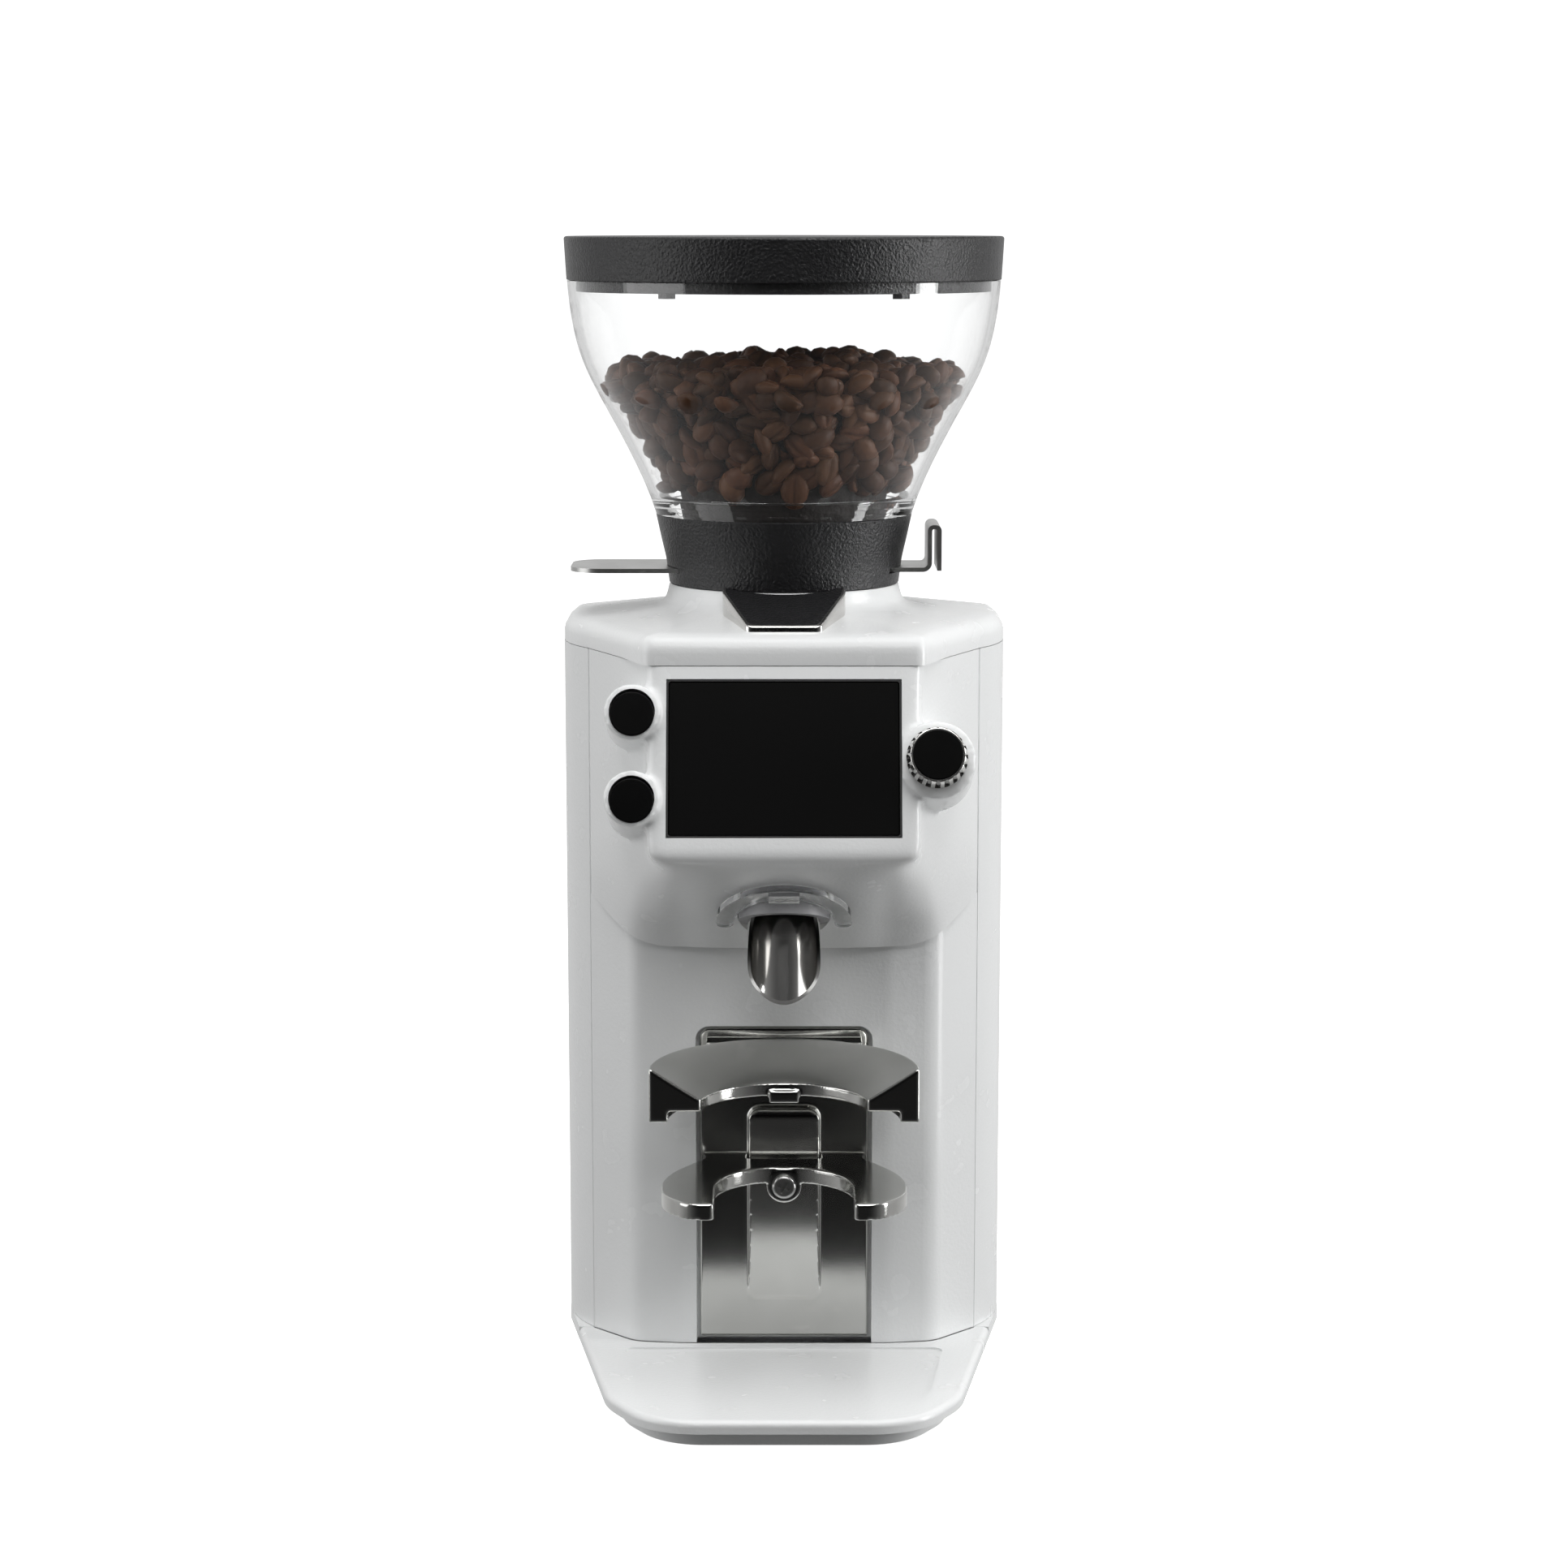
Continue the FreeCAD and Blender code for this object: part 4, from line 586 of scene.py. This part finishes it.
# --- Portafilter holder -----------------------------------------------------
# Back plate, upper hook and sliding fork, cast and plated in dark nickel
# with every edge eased. Screws hold the hook and clamp the fork, and an
# alloy weighing beam inside carries the plate.
HOLDER_GRID = 0.0006
EASE_PASSES = 3
HOLDER = {"holder_plate": ("back_plate", "stand"), "holder_hook": ("upper_hook", "stand"),
          "fork": ("portafilter_fork", "fork")}
dark_nickel = new_finish("dark_nickel", (0.63, 0.63, 0.61), (0.57, 0.57, 0.55), 0.15, 0.02, 900, 0.000003,
                         Metallic=1.0)
for node, (name, body) in HOLDER.items():
    casting = bmesh.new()
    casting.from_mesh(nodes[node].data)
    bmesh.ops.remove_doubles(casting, verts=casting.verts, dist=1e-6)
    eased = piece_from(casting, name, dark_nickel)
    blend = eased.modifiers.new("blend", "REMESH")
    blend.mode = "VOXEL"
    blend.voxel_size = HOLDER_GRID
    blend.use_smooth_shade = True
    ease = eased.modifiers.new("ease", "SMOOTH")
    ease.factor = 0.5
    ease.iterations = EASE_PASSES
    settle(eased)
    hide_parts(node)
    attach(eased, body)
give(steel, "hook_screws", "fork_screw")
cast_alloy = new_finish("cast_alloy", (0.62, 0.62, 0.63), (0.54, 0.54, 0.55), 0.45, 0.1, 500, 0.00008,
                        Metallic=1.0)
give(cast_alloy, "load_cell")

# --- Hopper and gate --------------------------------------------------------
# A clear moulded funnel with a grained black lid and collar. The gate is a
# bent steel sheet that slides through the collar and shuts it. The clear
# wall casts no shadow, so that the lights reach the beans.
give(clear_plastic, "hopper_shell")
nodes["hopper_shell"].visible_shadow = False
give(black_grain, "hopper_collar", "hopper_lid")
give(steel, "slide_gate")

# --- Beans ------------------------------------------------------------------
# The roasted beans that fill two thirds of the hopper: flat on one side with
# a crease, round on the other, lying every way round a near-black core that is painted shade deep in the heap.
BEANS_SIDE = 260
BEANS_TOP = 170
BEAN_SIZE = (5.6 * MM, 5.3 * MM, 7.4 * MM)
FLAT_SIDE = 0.38
CREASE_DEPTH = 0.55
SIDE_LAYERS = (6.6, 12.5)
TOP_LAYERS = (4.0, 10.5)
HEAP_FOOT = 391.0
HEAP_RISE = 49.5
HEAP_SPREAD = 1.15
HEAP_CROWN = 448.5
HEAP_RADIUS = 75.5
HEAP_DOME = 8.0
HEAP_EDGE = 76
LEAN_OUT = (0.86, -0.5)
BEAN_TILT = 0.45
BEAN_SIZES = (0.86, 1.1)
ROAST_SHADES = (0.55, 1.35)
WALL_LINE = [(54.6, 387.0), (62.1, 403.0), (71.5, 420.8), (77.6, 433.0), (79.8, 440.5)]
HEART_LINE = [(0, 362), (18, 362), (43, 372), (46, 388), (52, 403), (61, 421), (68, 433), (0, 437)]
GOLDEN_TURN = math.pi * (3 - math.sqrt(5))
coffee = new_finish("coffee", (0.092, 0.042, 0.021), (0.052, 0.023, 0.011), 0.50, 0.08, 420, 0.00025,
                    Specular_IOR_Level=0.2)
mixer = coffee.node_tree
roast = mixer.nodes.new("ShaderNodeAttribute")
roast.attribute_name = "roast"
darker = mixer.nodes.new("ShaderNodeMix")
darker.data_type = "RGBA"
darker.blend_type = "MULTIPLY"
darker.inputs[0].default_value = 1.0
shader = mixer.nodes["Principled BSDF"]
mixer.links.new(shader.inputs["Base Color"].links[0].from_socket, darker.inputs[6])
mixer.links.new(roast.outputs["Color"], darker.inputs[7])
mixer.links.new(darker.outputs[2], shader.inputs["Base Color"])

bean = bmesh.new()
bmesh.ops.create_uvsphere(bean, u_segments=12, v_segments=6, radius=1)
crease = [edge for edge in bean.edges if all(abs(end.co.x) < 0.01 and end.co.y > -0.01 for end in edge.verts)]
bmesh.ops.bevel(bean, geom=crease, offset=0.11, offset_type="OFFSET", affect="EDGES", segments=2, profile=0.5,
                material=-1)
for vert in bean.verts:
    if vert.co.y > 0.0:
        if abs(vert.co.x) < 0.02:
            vert.co.y -= CREASE_DEPTH * (1 - vert.co.z ** 2)
        vert.co.y *= FLAT_SIDE
bmesh.ops.scale(bean, vec=BEAN_SIZE, verts=bean.verts)
bean_data = bpy.data.meshes.new("bean")
bean.to_mesh(bean_data)
bean.free()
bean_data.shade_smooth()

draw = random.Random(7)


def wall_radius(height):
    """Radius of the heap's side at a height."""
    for (r1, z1), (r2, z2) in zip(WALL_LINE, WALL_LINE[1:]):
        if height <= z2:
            return r1 + (r2 - r1) * (height - z1) / (z2 - z1)
    return WALL_LINE[-1][0]


spots = []
for layer, depth in enumerate(SIDE_LAYERS):
    for i in range(BEANS_SIDE):
        share = (i + draw.uniform(0.1, 0.9)) / BEANS_SIDE
        risen = (math.sqrt(1 + HEAP_SPREAD * share) - 1) / (math.sqrt(1 + HEAP_SPREAD) - 1)
        height = HEAP_FOOT + HEAP_RISE * risen
        angle = i * GOLDEN_TURN + layer * 0.4 + draw.uniform(-0.05, 0.05)
        radius = wall_radius(height) - depth - draw.uniform(-0.4, 1.6)
        level, drop = LEAN_OUT
        away = Vector((math.cos(angle) * level, math.sin(angle) * level, drop))
        spots.append((radius, angle, height, away))
for layer, depth in enumerate(TOP_LAYERS):
    for i in range(BEANS_TOP):
        radius = HEAP_RADIUS * math.sqrt((i + 0.5) / BEANS_TOP)
        angle = i * GOLDEN_TURN + layer * 0.7
        height = HEAP_CROWN - HEAP_DOME * (radius / HEAP_EDGE) ** 2 - depth + draw.uniform(-1.6, 2.2)
        spots.append((radius, angle, height, Vector((0, 0, 1))))
heap = bmesh.new()
for radius, angle, height, away in spots:
    tilt = Vector([draw.gauss(0, BEAN_TILT) for _ in range(3)])
    facing = (away + tilt).normalized() * draw.choice((1, 1, -1))
    turn = facing.to_track_quat("Y", "Z").to_matrix().to_4x4()
    size = draw.uniform(*BEAN_SIZES)
    spin = Matrix.Rotation(draw.uniform(0, math.tau), 4, "Y")
    across = (radius * math.cos(angle) * MM, (radius * math.sin(angle) + AXIS_Y) * MM)
    spot = Matrix.Translation((*across, height * MM))
    one = bean_data.copy()
    one.transform(spot @ turn @ spin @ Matrix.Diagonal((size, size * draw.uniform(0.9, 1.1), size, 1)))
    shade = draw.uniform(*ROAST_SHADES)
    tone = one.attributes.new("roast", "FLOAT_COLOR", "POINT")
    colours = [shade, shade * draw.uniform(0.92, 1.02), shade * 0.96, 1] * len(one.vertices)
    tone.data.foreach_set("color", colours)
    heap.from_mesh(one)
    bpy.data.meshes.remove(one)
bean_heap = piece_from(heap, "bean_heap", coffee)
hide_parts("bean_fill")
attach(bean_heap, "hopper")

heart = bmesh.new()
line = [heart.verts.new((r * MM, 0, z * MM)) for r, z in HEART_LINE]
side = [heart.edges.new(pair) for pair in zip(line, line[1:])]
bmesh.ops.spin(heart, geom=line + side, axis=(0, 0, 1), cent=(0, 0, 0), steps=40, angle=math.tau,
               use_merge=True)
bmesh.ops.remove_doubles(heart, verts=heart.verts, dist=1e-6)
bmesh.ops.translate(heart, vec=(0, AXIS_Y * MM, 0), verts=heart.verts)
bmesh.ops.recalc_face_normals(heart, faces=heart.faces)
# the core's near-black colour is painted shade, standing in for the shade between the beans deep inside the
# heap
painted_shade_core = new_finish("painted_shade_core", (0.010, 0.006, 0.004), (0.004, 0.002, 0.002), 0.8, 0.1, 160, 0.002)
bean_heart = piece_from(heart, "bean_heart", painted_shade_core)
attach(bean_heart, "hopper")

# --- Burrs and adjuster -----------------------------------------------------
# Hardened steel burrs, one still in the threaded adjuster ring and one
# turning on its carrier, inside a cast chamber. The brass nut on the knob's
# spindle turns the ring.
tool_steel = new_finish("tool_steel", (0.40, 0.40, 0.40), (0.33, 0.33, 0.33), 0.30, 0.08, 900, 0.00001,
                        Metallic=1.0)
give(tool_steel, "lower_burr", "upper_burr")
give(steel, "lower_burr_screws", "upper_burr_screws", "feed_auger")
give(cast_alloy, "grind_chamber", "burr_carrier", "adjuster_ring")
give(brass, "adjuster_nut")

# --- Motor ------------------------------------------------------------------
# A wound stator in an alloy can, with the rotor on a steel shaft between two
# ball bearings and a moulded fan below. It stands on a folded bracket.
copper_iron = new_finish("copper_iron", (0.35, 0.16, 0.08), (0.22, 0.2, 0.2), 0.4, 0.1, 300, 0.0001,
                         Metallic=1.0)
give(copper_iron, "stator")
give(cast_alloy, "motor_can")
give(steel, "motor_bracket", "top_bearing", "bottom_bearing", "drive_shaft", "rotor_core")
give(black_satin, "cooling_fan")

# --- Electrics --------------------------------------------------------------
# The control board and the motor's capacitor inside, and the moulded mains
# inlet and rocker switch that clip into the back.
give(circuit, "control_board")
give(black_satin, "motor_capacitor", "power_inlet", "switch_frame")
give(gloss_black, "power_rocker")

# --- Feet, bottom plate and screws ------------------------------------------
# Four moulded rubber feet and a plated sheet steel plate under the base,
# held by pan head screws. The rear cover has the same screws.
rubber = new_finish("rubber", (0.02, 0.02, 0.02), (0.03, 0.03, 0.03), 0.75, 0.1, 900, 0.00005)
give(rubber, "rubber_feet")
give(steel, "bottom_plate", "bottom_screws", "shell_screws")
